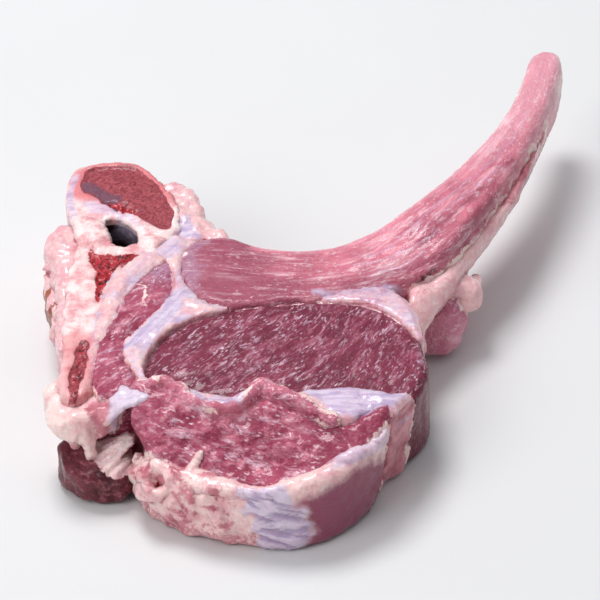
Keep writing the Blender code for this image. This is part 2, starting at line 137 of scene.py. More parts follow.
def along_line(points, line, closed=False):
    """For each point: distance to a line, how far along it lies, and which side (+ is left of the line)."""
    line = np.asarray(line)
    if closed:
        line = np.vstack([line, line[:1]])
    start, way = line[:-1], np.diff(line, axis=0)
    length = np.linalg.norm(way, axis=1)
    before = np.concatenate([[0.0], np.cumsum(length)[:-1]])
    distance, position, side = [], [], []
    for block in np.array_split(points[:, :line.shape[1]], max(1, len(points) // BLOCK)):
        offset = block[:, None] - start
        share = np.clip((offset * way).sum(-1) / np.maximum(length**2, 1e-12), 0.0, 1.0)
        away = offset - share[..., None] * way
        gap = np.linalg.norm(away, axis=-1)
        best = gap.argmin(axis=1)
        row = np.arange(len(block))
        distance.append(gap[row, best])
        position.append(before[best] + share[row, best] * length[best])
        side.append(way[best, 0] * away[row, best, 1] - way[best, 1] * away[row, best, 0])
    return np.concatenate(distance), np.concatenate(position), np.sign(np.concatenate(side))


def inside(points, ring):
    """Whether each point lies inside a ring, seen from above."""
    x, y = points[:, 0, None], points[:, 1, None]
    x0, y0 = ring[None, :, 0], ring[None, :, 1]
    x1, y1 = np.roll(x0, -1), np.roll(y0, -1)
    rise = np.where(y1 == y0, 1.0, y1 - y0)
    crossed = ((y0 > y) != (y1 > y)) & (x < x0 + (y - y0) * (x1 - x0) / rise)
    return crossed.sum(axis=1) % 2 == 1


def depth_in(points, outline):
    """Distance inside a curved outline seen from above, negative outside it."""
    ring = curve_through(outline, closed=True, samples=5)
    flat = points[:, :2]
    near = ((flat > ring.min(axis=0) - REACH) & (flat < ring.max(axis=0) + REACH)).all(axis=1)
    depth = np.full(len(points), -REACH)
    if near.any():
        distance, _, _ = along_line(points[near], ring, closed=True)
        depth[near] = np.where(inside(points[near], ring), distance, -distance)
    return depth


def patch(points, outline, blur=0.8):
    """1 inside an outline seen from above, 0 outside, with a soft border."""
    return ramp(depth_in(points, outline), -blur, blur)


def spot(points, centre, radius, blur=0.5):
    """1 near a point, 0 beyond the radius; the centre has two or three coordinates."""
    gap = np.linalg.norm(points[:, :len(centre)] - np.array(centre), axis=1)
    return ramp(gap, radius + blur, radius - blur)


def band(points, path, half_width, blur=0.5):
    """1 along a path, 0 beyond the half width on either side."""
    distance, _, _ = along_line(points, curve_through(path))
    return ramp(distance, half_width + blur, half_width - blur)


def lines(points, paths, half_width, blur):
    """1 along any of several paths."""
    return np.maximum.reduce([band(points, path, half_width, blur) for path in paths])


def turned(points, angle):
    """The points in axes turned about Z by an angle in degrees, or by an angle for each point."""
    c, s = np.cos(np.radians(angle)), np.sin(np.radians(angle))
    x, y, z = points.T
    return np.stack([c * x + s * y, -s * x + c * y, z], axis=1)


def distance_to(points, nodes):
    """Distance from each point to the nearest of some solids, in millimetres."""
    verts, faces = [], []
    for node in nodes:
        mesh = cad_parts[node].data
        faces += [[len(verts) + v for v in face.vertices] for face in mesh.polygons]
        verts += [vert.co / MM for vert in mesh.vertices]
    tree = BVHTree.FromPolygons(verts, faces)
    return np.array([tree.find_nearest(Vector(point))[3] for point in points])


# ---------------------------------------------------------------- skins


def strand(path):
    """A closed tapering tube along a path of (x, y, z, radius) as (points, faces)."""
    line = curve_through(path, samples=5)
    way = np.gradient(line[:, :3], axis=0)
    way /= np.linalg.norm(way, axis=1, keepdims=True)
    sides = STRAND_SIDES
    angles = 2 * math.pi * np.arange(sides) / sides
    points, faces = [], []
    sideways = np.cross(way[0], STRAND_START)
    for row, forward in zip(line, way):
        sideways = sideways - forward * (sideways @ forward)
        sideways /= np.linalg.norm(sideways)
        upward = np.cross(forward, sideways)
        for angle in angles:
            points.append(row[:3] + row[3] * (math.cos(angle) * sideways + math.sin(angle) * upward))
    for station in range(len(line) - 1):
        low, high = station * sides, (station + 1) * sides
        for i in range(sides):
            after = (i + 1) % sides
            faces.append((low + i, low + after, high + after, high + i))
    faces.append(tuple(range(sides))[::-1])
    faces.append(tuple(range((len(line) - 1) * sides, len(line) * sides)))
    return points, faces


def sheet(rows, thickness):
    """A closed thin sheet over a grid of points, given as rows of (x, y, z), as (points, faces)."""
    rows = np.array(rows, dtype=float)
    rows = curve_through(rows.reshape(len(rows), -1), samples=4).reshape(-1, *rows.shape[1:])
    grid = np.array([curve_through(row, samples=4) for row in rows])
    normal = np.cross(np.gradient(grid, axis=0), np.gradient(grid, axis=1))
    normal *= 0.5 * thickness / np.linalg.norm(normal, axis=2, keepdims=True)
    count_rows, count_columns = grid.shape[:2]
    points = np.concatenate([(grid + normal).reshape(-1, 3), (grid - normal).reshape(-1, 3)])
    half = count_rows * count_columns
    faces = []
    for row in range(count_rows - 1):
        for column in range(count_columns - 1):
            a = row * count_columns + column
            b = a + count_columns
            faces += [(a, b, b + 1, a + 1), (half + a, half + a + 1, half + b + 1, half + b)]
    rim = list(range(count_columns))
    rim += [row * count_columns + count_columns - 1 for row in range(1, count_rows)]
    rim += [half - 1 - column for column in range(1, count_columns)]
    rim += [row * count_columns for row in range(count_rows - 2, 0, -1)]
    faces += [(a, b, half + b, half + a) for a, b in zip(rim, rim[1:] + rim[:1])]
    return points, faces


def melted(name, nodes, extra):
    """A mesh of some solids, with closed strands and sheets among them."""
    work = bmesh.new()
    for node in nodes:
        work.from_mesh(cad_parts[node].data)
    bmesh.ops.remove_doubles(work, verts=work.verts, dist=1e-6)
    for points, faces in extra:
        verts = [work.verts.new(Vector(point) * MM) for point in points]
        for face in faces:
            work.faces.new([verts[i] for i in face])
    mesh = bpy.data.meshes.new(name)
    work.to_mesh(mesh)
    work.free()
    return mesh


class Skin:
    """A piece while it is shaped: its points and normals in millimetres, and what is painted on them.

    Its mesh has a point every voxel, is smoothed as often as soften says, and starts out swollen by swell.
    """

    def __init__(self, name, nodes, voxel=0.4, soften=6, extra=(), swell=0.0):
        self.nodes = (nodes,) if isinstance(nodes, str) else nodes
        self.object = bpy.data.objects.new(name, melted(name, self.nodes, extra))
        bpy.context.scene.collection.objects.link(self.object)
        self.modify("DISPLACE", mid_level=0.0, strength=swell * MM)
        self.modify("REMESH", mode="VOXEL", voxel_size=voxel * MM, use_smooth_shade=True)
        self.modify("SMOOTH", factor=0.5, iterations=soften)
        graph = bpy.context.evaluated_depsgraph_get()
        self.mesh = bpy.data.meshes.new_from_object(self.object.evaluated_get(graph))
        self.object.modifiers.clear()
        self.object.data = self.mesh
        self.mesh.name = name
        self.read()

    def modify(self, kind, **settings):
        """Add a modifier with its settings."""
        modifier = self.object.modifiers.new(kind, kind)
        for key, value in settings.items():
            setattr(modifier, key, value)

    def read(self):
        """Take the points and normals from the mesh."""
        flat = np.zeros(len(self.mesh.vertices) * 3, np.float32)
        self.mesh.vertices.foreach_get("co", flat)
        self.points = flat.reshape(-1, 3).astype(float) / MM
        self.x, self.y, self.z = self.points.T
        self.mesh.vertex_normals.foreach_get("vector", flat)
        self.normals = flat.reshape(-1, 3).astype(float)

    def write(self):
        """Put the points into the mesh, none of them below the surface that the piece rests on."""
        self.points[:, 2] = np.maximum(self.points[:, 2], FLOOR_CLEARANCE)
        self.mesh.vertices.foreach_set("co", (self.points * MM).astype(np.float32).ravel())
        self.mesh.update()
        self.read()

    def push(self, amount, direction=None):
        """Move the points by an amount along their normals, or in one direction."""
        way = self.normals if direction is None else np.array(direction, dtype=float)
        self.points = self.points + np.asarray(amount).reshape(-1, 1) * way
        self.write()

    def facing_up(self):
        """1 on the cut face, 0 on the walls and the underside."""
        return ramp(self.normals[:, 2], 0.35, 0.85)

    def wall(self):
        """1 on the walls, 0 on the cut face and the underside."""
        return ramp(np.abs(self.normals[:, 2]), 0.9, 0.4)

    def beside(self, nodes, start, end):
        """1 close to some solids, 0 away from them."""
        return ramp(distance_to(self.points, nodes), start, end)

    def paint(self, **values):
        """Store named values, one for each point, for the materials."""
        for name, value in values.items():
            value = np.asarray(value, dtype=np.float32)
            value = np.broadcast_to(value, (len(self.points),) + value.shape[1:])
            kind, part = ("FLOAT", "value") if value.ndim == 1 else ("FLOAT_VECTOR", "vector")
            layer = self.mesh.attributes.new(name, kind, "POINT")
            layer.data.foreach_set(part, np.ascontiguousarray(value).ravel())

    def repaint(self, name, value, share=1.0):
        """Replace what is painted under a name, or its given share at each point."""
        layer = self.mesh.attributes[name]
        old = np.zeros(len(self.points), np.float32)
        layer.data.foreach_get("value", old)
        layer.data.foreach_set("value", (old * (1.0 - share) + value * share).astype(np.float32))

    def finish(self, material, slot, replaced=None):
        """Dress the piece, hang it on the body, and hide the solids that it replaces."""
        self.mesh.materials.clear()
        self.mesh.materials.append(material)
        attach(self.object, BODY)
        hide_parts(*(self.nodes if replaced is None else replaced))


# ---------------------------------------------------------------- materials


def srgb(red, green, blue):
    """A colour as seen on screen, 0 to 255, as linear RGBA."""
    channels = [value / 255.0 for value in (red, green, blue)]
    return tuple(v / 12.92 if v <= 0.04045 else ((v + 0.055) / 1.055) ** 2.4 for v in channels) + (1.0,)


class Value:
    """An output of a shader node that can be used in sums."""

    def __init__(self, graph, socket):
        self.graph, self.socket = graph, socket

    def __add__(self, other):
        return self.graph.math("ADD", self, other)

    def __sub__(self, other):
        return self.graph.math("SUBTRACT", self, other)

    def __mul__(self, other):
        return self.graph.math("MULTIPLY", self, other)

    def over(self, start, end, low=0.0, high=1.0):
        """A smooth ramp from low at start to high at end."""
        made = self.graph.add("ShaderNodeMapRange", {"interpolation_type": "SMOOTHSTEP"}, {
            "Value": self, "From Min": start, "From Max": end, "To Min": low, "To Max": high})
        return self.graph.out(made, "Result")


class Graph:
    """One Principled material, put together by calls."""

    def __init__(self, name, **constants):
        self.material = bpy.data.materials.new(name)
        self.material.use_nodes = True
        self.tree = self.material.node_tree
        self.shader = self.tree.nodes["Principled BSDF"]
        for key, value in constants.items():
            self.shader.inputs[key.replace("_", " ").title().replace("Ior", "IOR")].default_value = value

    def plug(self, target, value):
        """Give an input a constant or another node's output."""
        if isinstance(value, Value):
            self.tree.links.new(value.socket, target)
        else:
            target.default_value = value

    def add(self, kind, settings, inputs):
        node = self.tree.nodes.new(kind)
        for key, value in settings.items():
            setattr(node, key, value)
        for key, value in inputs.items():
            self.plug(node.inputs[key], value)
        return node

    def out(self, node, name):
        return Value(self, node.outputs[name])

    def math(self, operation, first, second):
        node = self.add("ShaderNodeMath", {"operation": operation}, {0: first, 1: second})
        return self.out(node, "Value")

    def attribute(self, name, output="Fac"):
        """What is painted on the points under a name."""
        return self.out(self.add("ShaderNodeAttribute", {"attribute_name": name}, {}), output)

    def place(self):
        """The point in millimetres."""
        here = self.out(self.add("ShaderNodeTexCoord", {}, {}), "Object")
        return self.scaled(here, (1.0 / MM,) * 3)

    def scaled(self, vector, factors):
        """A vector stretched or squeezed along its axes."""
        node = self.add("ShaderNodeVectorMath", {"operation": "MULTIPLY"}, {0: vector, 1: factors})
        return self.out(node, "Vector")

    def noise(self, vector, size, detail=3.0, roughness=0.55, distortion=0.0):
        """Noise about 0.5 with lumps about one size across in the vector's own unit."""
        node = self.add("ShaderNodeTexNoise", {}, {
            "Vector": vector, "Scale": 1.0 / size, "Detail": detail, "Roughness": roughness,
            "Distortion": distortion})
        return self.out(node, "Fac")

    def cells(self, vector, size, output="Distance"):
        """Distance to scattered points about one size apart, or the colour of each."""
        node = self.add("ShaderNodeTexVoronoi", {}, {"Vector": vector, "Scale": 1.0 / size})
        return self.out(node, output)

    def mix(self, share, first, second):
        """A colour between two, the second where the share is 1."""
        node = self.add("ShaderNodeMix", {"data_type": "RGBA"}, {0: share, 6: first, 7: second})
        return Value(self, node.outputs[2])

    def bump(self, height, depth):
        """A normal from heights between 0 and 1 that stand for a depth in millimetres."""
        node = self.add("ShaderNodeBump", {}, {"Height": height, "Distance": depth * MM, "Strength": 1.0})
        return self.out(node, "Normal")

    def finish(self, colour, roughness, normal):
        """Plug in what varies over the surface."""
        self.plug(self.shader.inputs["Base Color"], colour)
        self.plug(self.shader.inputs["Roughness"], roughness)
        self.plug(self.shader.inputs["Normal"], normal)
        return self.material


FAT_WHITE = srgb(252, 236, 230)
FAT_CREAM = srgb(250, 222, 214)
FAT_PINK = srgb(240, 196, 196)
FAT_ROSE = srgb(224, 156, 160)
ROSY = srgb(226, 160, 170)
MEAT_IN_FAT = srgb(172, 74, 94)
PALE_MEAT_IN_FAT = srgb(212, 130, 142)
MEMBRANE = srgb(178, 160, 198)
MEMBRANE_WHITE = srgb(220, 206, 226)
BLOOD = srgb(150, 14, 28)
# painted shade: the near-black red laid in the canal and in the hollow under the rib
SHADE_DARK_RED = srgb(50, 12, 20)
MAUVE = srgb(146, 64, 92)
# painted highlight: the colour of the glints laid on the muscle
GLINT = srgb(252, 236, 244)
BONE = srgb(250, 228, 224)
BONE_PINK = srgb(238, 196, 196)
BONE_STAIN = srgb(224, 142, 148)
BONE_ROSY = srgb(218, 112, 118)
MARROW_DEEP = srgb(122, 36, 48)
MARROW_LIGHT = srgb(184, 88, 96)
MARROW_BROAD = srgb(132, 46, 60)
MARROW_PIT = srgb(96, 18, 30)
MARROW_GREY = srgb(112, 74, 92)
MARROW_BLOOD = srgb(128, 14, 26)
MARROW_BLOOD_LIGHT = srgb(206, 56, 68)
MARROW_BLOOD_DARK = srgb(72, 6, 14)
MARROW_GRAIN = srgb(240, 164, 170)
WET = dict(coat_weight=0.7, coat_roughness=0.12, coat_ior=1.36, ior=1.38, specular_ior_level=0.3,
           subsurface_weight=0.14, subsurface_radius=(1.0, 0.36, 0.26), subsurface_scale=1.2 * MM)

# How a painted tissue, or the painted shade, covers what is under it: the share where it starts, the share
# where it is full, how ragged its border is, and its colour, if that is plain.
COVERS = {
    "blood": (0.40, 0.62, 0.9, BLOOD),
    # painted shade, not a tissue: it darkens the canal and the hollow
    "dark": (0.30, 0.60, 0.5, SHADE_DARK_RED),
    "mauve": (0.12, 0.95, 0.6, MAUVE),
    "fat": (0.42, 0.60, 0.9, None),
    "film": (0.20, 0.85, 0.45, None),
}
FILM_STRENGTH = 0.85

# Each muscle's tones (deep, middle, light, and its streaks) and what sets its grain.
FLESH = {
    "dark_flesh": dict(
        tones=[(102, 24, 48), (126, 38, 64), (150, 64, 88), (230, 190, 208)],
        streaks=0.35, flecks=0.7, fleck=1.05, coat=0.45, even=0.3),
    "pink_flesh": dict(
        tones=[(142, 60, 84), (214, 120, 138), (236, 168, 180), (248, 218, 224)],
        size=1.5, stretch=0.12, streaks=0.65, flecks=0.55, fleck=0.9, coat=0.4, even=0.58),
    "red_flesh": dict(
        tones=[(146, 48, 76), (172, 76, 102), (208, 122, 140), (236, 194, 210)],
        size=1.2, stretch=0.6, flecks=0.7, fleck=1.9),
    # partly painted shade: the dark of the muscle lying in shade under the tip, besides its own red-brown
    "brown_flesh": dict(tones=[(76, 16, 28), (104, 32, 46), (134, 58, 70), (188, 130, 140)]),
    # painted light: lighter tones than the muscle's own, making up for the shade of the strand and web over
    # it
    "nub_flesh": dict(
        tones=[(196, 106, 134), (212, 130, 152), (226, 156, 174), (246, 216, 226)],
        size=1.4, streaks=0.2, flecks=0.4, coat=0.9),
    "dry_flesh": dict(tones=[(120, 60, 46), (166, 92, 70), (190, 120, 96), (206, 150, 120)]),
}


def fat_colour(graph, place):
    """Cream fat with pinker stretches and a few rosy stains."""
    broad = graph.noise(place, 4.0, detail=4.0)
    fine = graph.noise(place, 0.9, detail=4.0, distortion=0.4)
    tone = graph.mix(broad.over(0.34, 0.68), FAT_CREAM, FAT_PINK)
    stain = graph.mix((broad * 0.6 + fine * 0.4).over(0.48, 0.70) * 0.7, tone, FAT_ROSE)
    stain = graph.mix(fine.over(0.46, 0.34) * 0.45, stain, FAT_WHITE)
    return graph.mix(graph.attribute("rosy") * (fine.over(0.25, 0.75) * 0.6 + 0.4), stain, ROSY)


def fine_wrinkles(graph):
    """Narrow wrinkles that run along the fibres."""
    return graph.noise(graph.scaled(graph.attribute("fibre", "Vector"), (0.14, 1.0, 1.0)), 0.9)


def membrane_colour(graph, place):
    """Lavender membrane, whiter along its folds; the painted fold value adds painted highlight on the
    crests and painted shade in the grooves of the edge's and the fan's folds.
    """
    folds = graph.noise(graph.scaled(place, (0.6, 1.2, 1.0)), 2.0, detail=4.0, distortion=0.8)
    wrinkles = fine_wrinkles(graph) * 0.6 + folds * 0.4
    whiter = (wrinkles + graph.attribute("fold") * 0.2).over(0.38, 0.62)
    return graph.mix(whiter, MEMBRANE, MEMBRANE_WHITE)


def raggedness(graph, place):
    """Fine noise about 0 that frays the borders of what is painted."""
    return graph.noise(place, 0.8, detail=4.0, roughness=0.68) - 0.5


def cover(graph, colour, place, ragged, names):
    """Lay the painted tissues and the painted shade over a colour, each with a ragged border."""
    for name in names:
        start, end, uneven, tone = COVERS[name]
        share = (graph.attribute(name) + ragged * uneven).over(start, end)
        if name == "fat":
            tone = fat_colour(graph, place)
        if name == "film":
            tone, share = membrane_colour(graph, place), share * FILM_STRENGTH
        colour = graph.mix(share, colour, tone)
    return colour


def scattered(graph, fibre, place, fleck):
    """Shares of small dots, some also painted glints, and of frayed shreds about one fleck long, and how
    thickly they lie.
    """
    wavy = graph.scaled(fibre, (0.62, 1.5, 1.5))
    speck = 0.46 + 0.2 * fleck
    dot = graph.cells(wavy, speck).over(0.38, 0.14) * graph.cells(wavy, speck, "Color").over(0.56, 0.74)
    torn = graph.scaled(fibre, (0.5, 1.3, 1.3))
    shred = graph.noise(torn, 1.1 * fleck, detail=4.0, roughness=0.72, distortion=0.9).over(0.52, 0.66)
    return dot, shred, graph.noise(place, 6.0).over(0.34, 0.60, 0.35, 1.0)


def flesh(name, tones, size=1.0, stretch=0.35, streaks=0.5, flecks=0.0, fleck=1.0, coat=0.6, even=0.0):
    """Cut muscle: bundles of fibres, streaks and flecks, painted glints, and painted fat, blood, membrane
    and shade.

    The vector "fibre" gives each point's place along the fibres, across them and up, in millimetres.
    "crest" is where the surface stands high or lies low, and the colour is a little lighter on the high
    places and deeper in the low ones, as painted light and shade. "tone" makes it lighter, or darker and
    plainer.
    """
    deep, middle, light, streak = (srgb(*tone) for tone in tones)
    graph = Graph(name, **{**WET, "coat_weight": coat})
    fibre = graph.attribute("fibre", "Vector")
    place = graph.place()
    long_way = graph.scaled(fibre, (stretch, 1.0, 1.0))
    broad = graph.noise(fibre, 6.0 * size)
    bundle = graph.noise(long_way, 1.5 * size, detail=4.0, roughness=0.6, distortion=0.5)
    thread = graph.noise(long_way, 0.42 * size, roughness=0.65, distortion=0.3)
    tone = graph.attribute("tone")
    # painted light and shade: lighter on the lumps' crests, deeper in their hollows
    shade = graph.attribute("crest") * 0.10
    colour = graph.mix((broad + shade).over(0.38, 0.62, even, 1.0), deep, middle)
    colour = graph.mix((bundle + shade).over(0.46, 0.70) * 0.85, colour, light)
    colour = graph.mix(tone.over(-1.5, 0.0, 0.75, 0.0), colour, deep)
    colour = graph.mix(tone.over(0.0, 1.5, 0.0, 0.75), colour, light)
    vein = (bundle * 0.4 + thread * 0.6 + shade * 0.5).over(0.52, 0.70)
    colour = graph.mix(vein * tone.over(-2.2, -0.6, 0.3, 1.0) * streaks, colour, streak)
    dot, shred, density = scattered(graph, fibre, place, fleck)
    density = density * tone.over(-2.0, -0.6, 0.2, 1.0)
    # the pale flecks are partly pale marbling and partly painted highlight, standing for wet glints
    dash = (dot * 0.3 + shred) * density * flecks
    colour = graph.mix(dash, colour, streak)
    # painted highlight: near-white glints laid on some of the dots
    colour = graph.mix(dot * density * flecks * 0.65, colour, GLINT)
    colour = cover(graph, colour, place, raggedness(graph, place), ("dark", "blood", "fat", "film"))
    wet_grain = graph.noise(place, 0.6, detail=2.0)
    bumped = graph.bump(bundle * 0.25 + thread * 0.3 + wet_grain * 0.8 + dash * 0.2, 0.42)
    return graph.finish(colour, graph.noise(place, 2.4).over(0.35, 0.65, 0.42, 0.6), bumped)


def fat_material(name, depth=0.4, matt=0.34):
    """Fat and connective tissue: cream to pink, with painted flesh, blood, membrane and shade.

    The depth is that of its fine relief in millimetres, and matt the roughness where it is wettest.
    """
    wet_fat = {"coat_weight": 1.0, "subsurface_weight": 0.3, "subsurface_scale": 1.6 * MM}
    graph = Graph(name, **{**WET, **wet_fat})
    place = graph.place()
    ragged = raggedness(graph, place)
    meat = (graph.attribute("meat") + ragged * 0.9).over(0.36, 0.66)
    red = graph.noise(place, 2.8, detail=4.0).over(0.36, 0.64)
    red = graph.mix(red, MEAT_IN_FAT, PALE_MEAT_IN_FAT)
    colour = graph.mix(meat * 0.9, fat_colour(graph, place), red)
    colour = cover(graph, colour, place, ragged, ("mauve", "dark", "blood", "film"))
    fine = graph.noise(place, 0.7, detail=4.0, roughness=0.62)
    relief = fine * 0.5 + fine_wrinkles(graph) * 0.6
    wetness = graph.noise(place, 2.0).over(0.35, 0.65, matt, matt + 0.18)
    return graph.finish(colour, wetness, graph.bump(relief, depth))


def marrow_colour(graph, broad, open_grain, grain, ragged):
    """Red open marrow, grey where it is painted so."""
    marrow = graph.mix(open_grain.over(0.34, 0.66), MARROW_DEEP, MARROW_LIGHT)
    marrow = graph.mix(broad.over(0.46, 0.62) * 0.45, marrow, MARROW_BROAD)
    marrow = graph.mix(grain.over(0.30, 0.08) * 0.4, marrow, MARROW_PIT)
    grey = (graph.attribute("grey") + ragged * 0.7).over(0.25, 0.85)
    return graph.mix(grey * 0.85, marrow, MARROW_GREY)


def marrow_blood_colour(graph, place, open_grain, torn):
    """Marrow full of blood, with dark holes and pale grains."""
    red = graph.mix(open_grain.over(0.40, 0.60), MARROW_BLOOD, MARROW_BLOOD_LIGHT)
    red = graph.mix(torn.over(0.03, 0.12), red, MARROW_BLOOD_DARK)
    return graph.mix(graph.cells(place, 0.8).over(0.24, 0.08), red, MARROW_GRAIN)


def bone_material(name):
    """Sawn bone: a pale dense rim round red open marrow, with painted grey, blood, membrane and shade."""
    graph = Graph(name, **{**WET, "subsurface_weight": 0.2, "coat_weight": 0.35})
    place = graph.place()
    ragged = raggedness(graph, place)
    grain = graph.cells(place, 0.6)
    open_grain = graph.noise(place, 0.55, detail=4.0, roughness=0.7)
    broad = graph.noise(place, 3.0, detail=4.0)
    torn = graph.noise(place, 2.0, detail=5.0, roughness=0.7) - 0.5
    rim = graph.mix(broad.over(0.34, 0.66), BONE, BONE_PINK)
    rim = graph.mix((open_grain * 0.3 + broad * 0.7).over(0.46, 0.64) * 0.8, rim, BONE_STAIN)
    rim = graph.mix(graph.attribute("rosy") * 0.9, rim, BONE_ROSY)
    share = (graph.attribute("marrow") + ragged * 0.5).over(0.38, 0.58)
    colour = graph.mix(share, rim, marrow_colour(graph, broad, open_grain, grain, ragged))
    blood = (graph.attribute("blood") * 1.4 + torn * 1.3).over(0.52, 0.82)
    colour = graph.mix(blood, colour, marrow_blood_colour(graph, place, open_grain, torn))
    colour = cover(graph, colour, place, ragged, ("dark", "film"))
    bumped = graph.bump(open_grain * 0.5 + grain * 0.3 + torn * blood, 0.34)
    return graph.finish(colour, open_grain.over(0.3, 0.7, 0.3, 0.5), bumped)


# ---------------------------------------------------------------- what shows where

# Outlines seen from above, on the cut face.
BODY_MARROW = [
    (-40.5, 22.3), (-38.5, 24.8), (-33.0, 25.6), (-28.8, 23.4), (-25.1, 17.6), (-22.9, 11.6), (-23.0, 6.8),
    (-24.8, 5.9), (-27.5, 8.2), (-29.6, 10.3), (-31.8, 12.0), (-34.9, 13.3), (-37.1, 15.4), (-39.8, 17.6),
]
GREY_MARROW = [
    (-40.1, 20.6), (-38.1, 20.6), (-35.3, 17.8), (-32.7, 16.3), (-33.0, 14.6), (-34.9, 14.0), (-37.7, 16.3),
    (-39.8, 18.0),
]
RAGGED_MARROW = [(-35.9, 13.9), (-33.5, 14.4), (-29.5, 11.4), (-28.9, 9.5), (-32.2, 10.8), (-35.3, 12.7)]
TRIANGLE_MARROW = [
    (-37.0, -0.1), (-34.5, -0.9), (-31.0, -1.3), (-27.7, -1.8), (-30.2, -5.0), (-31.9, -7.5),
    (-33.0, -10.7), (-33.6, -15.2), (-34.6, -13.2), (-34.7, -9.1), (-35.9, -4.2),
]
SPINE_MARROW = [
    (-36.0, -26.9), (-34.5, -26.4), (-34.1, -32.4), (-34.9, -41.0), (-36.5, -41.0), (-36.7, -33.9),
]
CREAM_LUMP = [
    (-44.5, 9.5), (-41.6, 9.9), (-37.0, 8.6), (-34.2, 5.3), (-33.9, 2.4), (-36.7, 0.9), (-40.7, 1.3),
    (-43.9, 3.6),
]
LIGAMENT = [
    (-27.5, 3.2), (-24.0, 3.4), (-20.6, 1.8), (-19.2, -0.4), (-20.2, -2.4), (-20.8, -6.7), (-22.4, -4.6),
    (-26.0, 0.5),
]
JOINT_FILM = [(-22.1, 6.3), (-20.8, 11.3), (-19.1, 8.8), (-17.0, 4.6), (-19.2, 3.8), (-21.5, 4.6)]
ARCH_FILM = [
    (-39.8, 15.0), (-37.0, 14.2), (-33.3, 12.0), (-29.6, 9.3), (-26.7, 4.9), (-29.3, 6.6), (-33.0, 9.3),
    (-38.1, 10.8),
]
FORK_FILM = [
    (-20.9, -11.4), (-18.4, -16.2), (-20.0, -21.0), (-21.8, -23.4), (-24.3, -27.3), (-27.9, -28.8),
    (-28.6, -27.3), (-25.3, -21.8), (-22.8, -17.0),
]
WEDGE_FILM = [
    (3.5, -39.2), (9.3, -38.3), (15.2, -39.7), (21.1, -40.6), (20.0, -43.0), (15.5, -46.2), (9.8, -47.1),
    (7.3, -44.4), (4.8, -42.0),
]
CAP_LUMP = [(-1.0, -42.6), (4.9, -43.2), (7.6, -45.8), (6.4, -48.0), (1.7, -47.2), (-2.0, -45.4)]
PALE_STRIP = [
    (-26.6, -0.9), (-23.6, -2.8), (-25.7, -5.9), (-28.8, -9.1), (-29.3, -14.8), (-30.3, -19.5),
    (-31.6, -25.9), (-33.8, -27.4), (-34.1, -19.5), (-32.8, -13.2), (-31.5, -6.7),
]
CANAL = [(-34.9, 9.2), (-32.4, 9.0), (-29.0, 5.6), (-28.2, 2.8), (-30.2, 0.8), (-33.0, 1.8), (-34.2, 5.0)]

# Lines on the cut face.
SPINE_FILM = [(-34.0, -21.0), (-33.6, -29.0), (-32.8, -35.0)]
FLECK_LINES = [
    [(-25.3, -13.3), (-26.2, -10.9), (-27.6, -10.3)], [(-25.3, -13.3), (-25.9, -14.9), (-25.2, -16.6)],
    [(-26.0, -18.6), (-28.8, -19.7)], [(-23.4, -8.4), (-22.4, -10.8)], [(-30.2, -22.6), (-29.2, -24.8)],
    [(-28.0, -33.4), (-26.6, -35.2)], [(-30.2, -29.6), (-29.0, -31.0)],
]
CORNER_FILM = [(4.0, -12.4), (8.4, -12.2), (12.5, -11.2), (16.0, -10.2), (19.2, -9.6)]
LEFT_STRIPES = [
    [(-11.0, -14.2), (-8.3, -11.6), (-4.0, -11.2), (-0.4, -9.6)],
    [(-10.6, -15.6), (-5.6, -13.4), (1.0, -12.6)], [(-19.6, -6.4), (-18.2, -9.4), (-17.6, -12.0)],
    [(-17.2, -6.6), (-16.2, -9.6), (-15.2, -12.4)], [(-15.0, -8.0), (-13.8, -10.6)],
    [(-19.4, -2.4), (-18.0, -4.6)],
]
EYE_FILM = [(17.6, -39.4), (20.8, -36.6), (22.6, -32.0), (22.8, -28.0)]
JOINT_BLOOD = (-16.5, 4.4)
HOLLOW = [(19.7, -9.6), (22.5, -7.2), (25.8, -4.6)]
FORK_FAT = [(-21.3, -0.8), (-20.9, -6.0), (-20.3, -10.6), (-18.0, -15.4), (-13.4, -17.2)]
EYE_LEFT_FAT = [(-26.0, -28.0), (-24.8, -33.4), (-22.9, -38.0), (-21.0, -39.8)]
RIB_FILMS = [
    [
        (12.6, -3.4), (16.4, -1.6), (20.2, 2.6), (25.0, 8.6), (29.6, 14.8), (34.6, 22.6), (38.0, 29.6),
        (40.6, 38.0),
    ],
    [(22.0, 2.2), (27.4, 8.2), (31.4, 13.6), (36.0, 21.0)],
    [(10.3, -5.8), (16.0, -3.8), (21.8, -0.9), (25.6, 2.6)],
    [(13.4, -7.6), (18.4, -5.8), (23.0, -2.6)],
]
RIB_LINE = [
    (-22.0, -3.6), (-13.6, -4.6), (-5.0, -5.8), (5.0, -5.6), (14.4, -2.2), (22.4, 5.0), (29.4, 15.0),
    (35.2, 26.6), (39.8, 38.4), (42.4, 50.0), (43.5, 58.8),
]
RIB_GROOVES = [
    [(22.3, -0.5), (27.0, 5.3), (31.3, 11.2), (35.1, 18.0), (38.0, 24.1)],
    [(9.6, -10.3), (16.2, -7.9), (22.0, -5.4), (26.7, -1.3), (30.5, 4.5), (34.3, 12.1)],
]
CAP_LIP = [
    (-24.6, -39.0), (-22.0, -39.4), (-19.8, -38.8), (-17.3, -40.5), (-15.4, -42.6), (-13.5, -43.8),
    (-10.0, -45.0), (-6.5, -44.6), (-4.6, -42.4), (-3.2, -40.6), (-1.2, -42.0), (3.0, -43.8),
    (6.6, -46.6), (9.6, -48.0),
]
LEFT_FILM = [(-41.6, 22.6), (-41.8, 17.0), (-41.0, 12.0), (-40.4, 9.0)]


def wander(points, amount=0.5):
    """The points moved a little sideways, which makes the outlines on the cut face uneven."""
    sideways = [rough(points, 3.0, 301, 2), rough(points, 3.0, 302, 2), 0.0 * points[:, 2]]
    return points + amount * np.stack(sideways, 1)


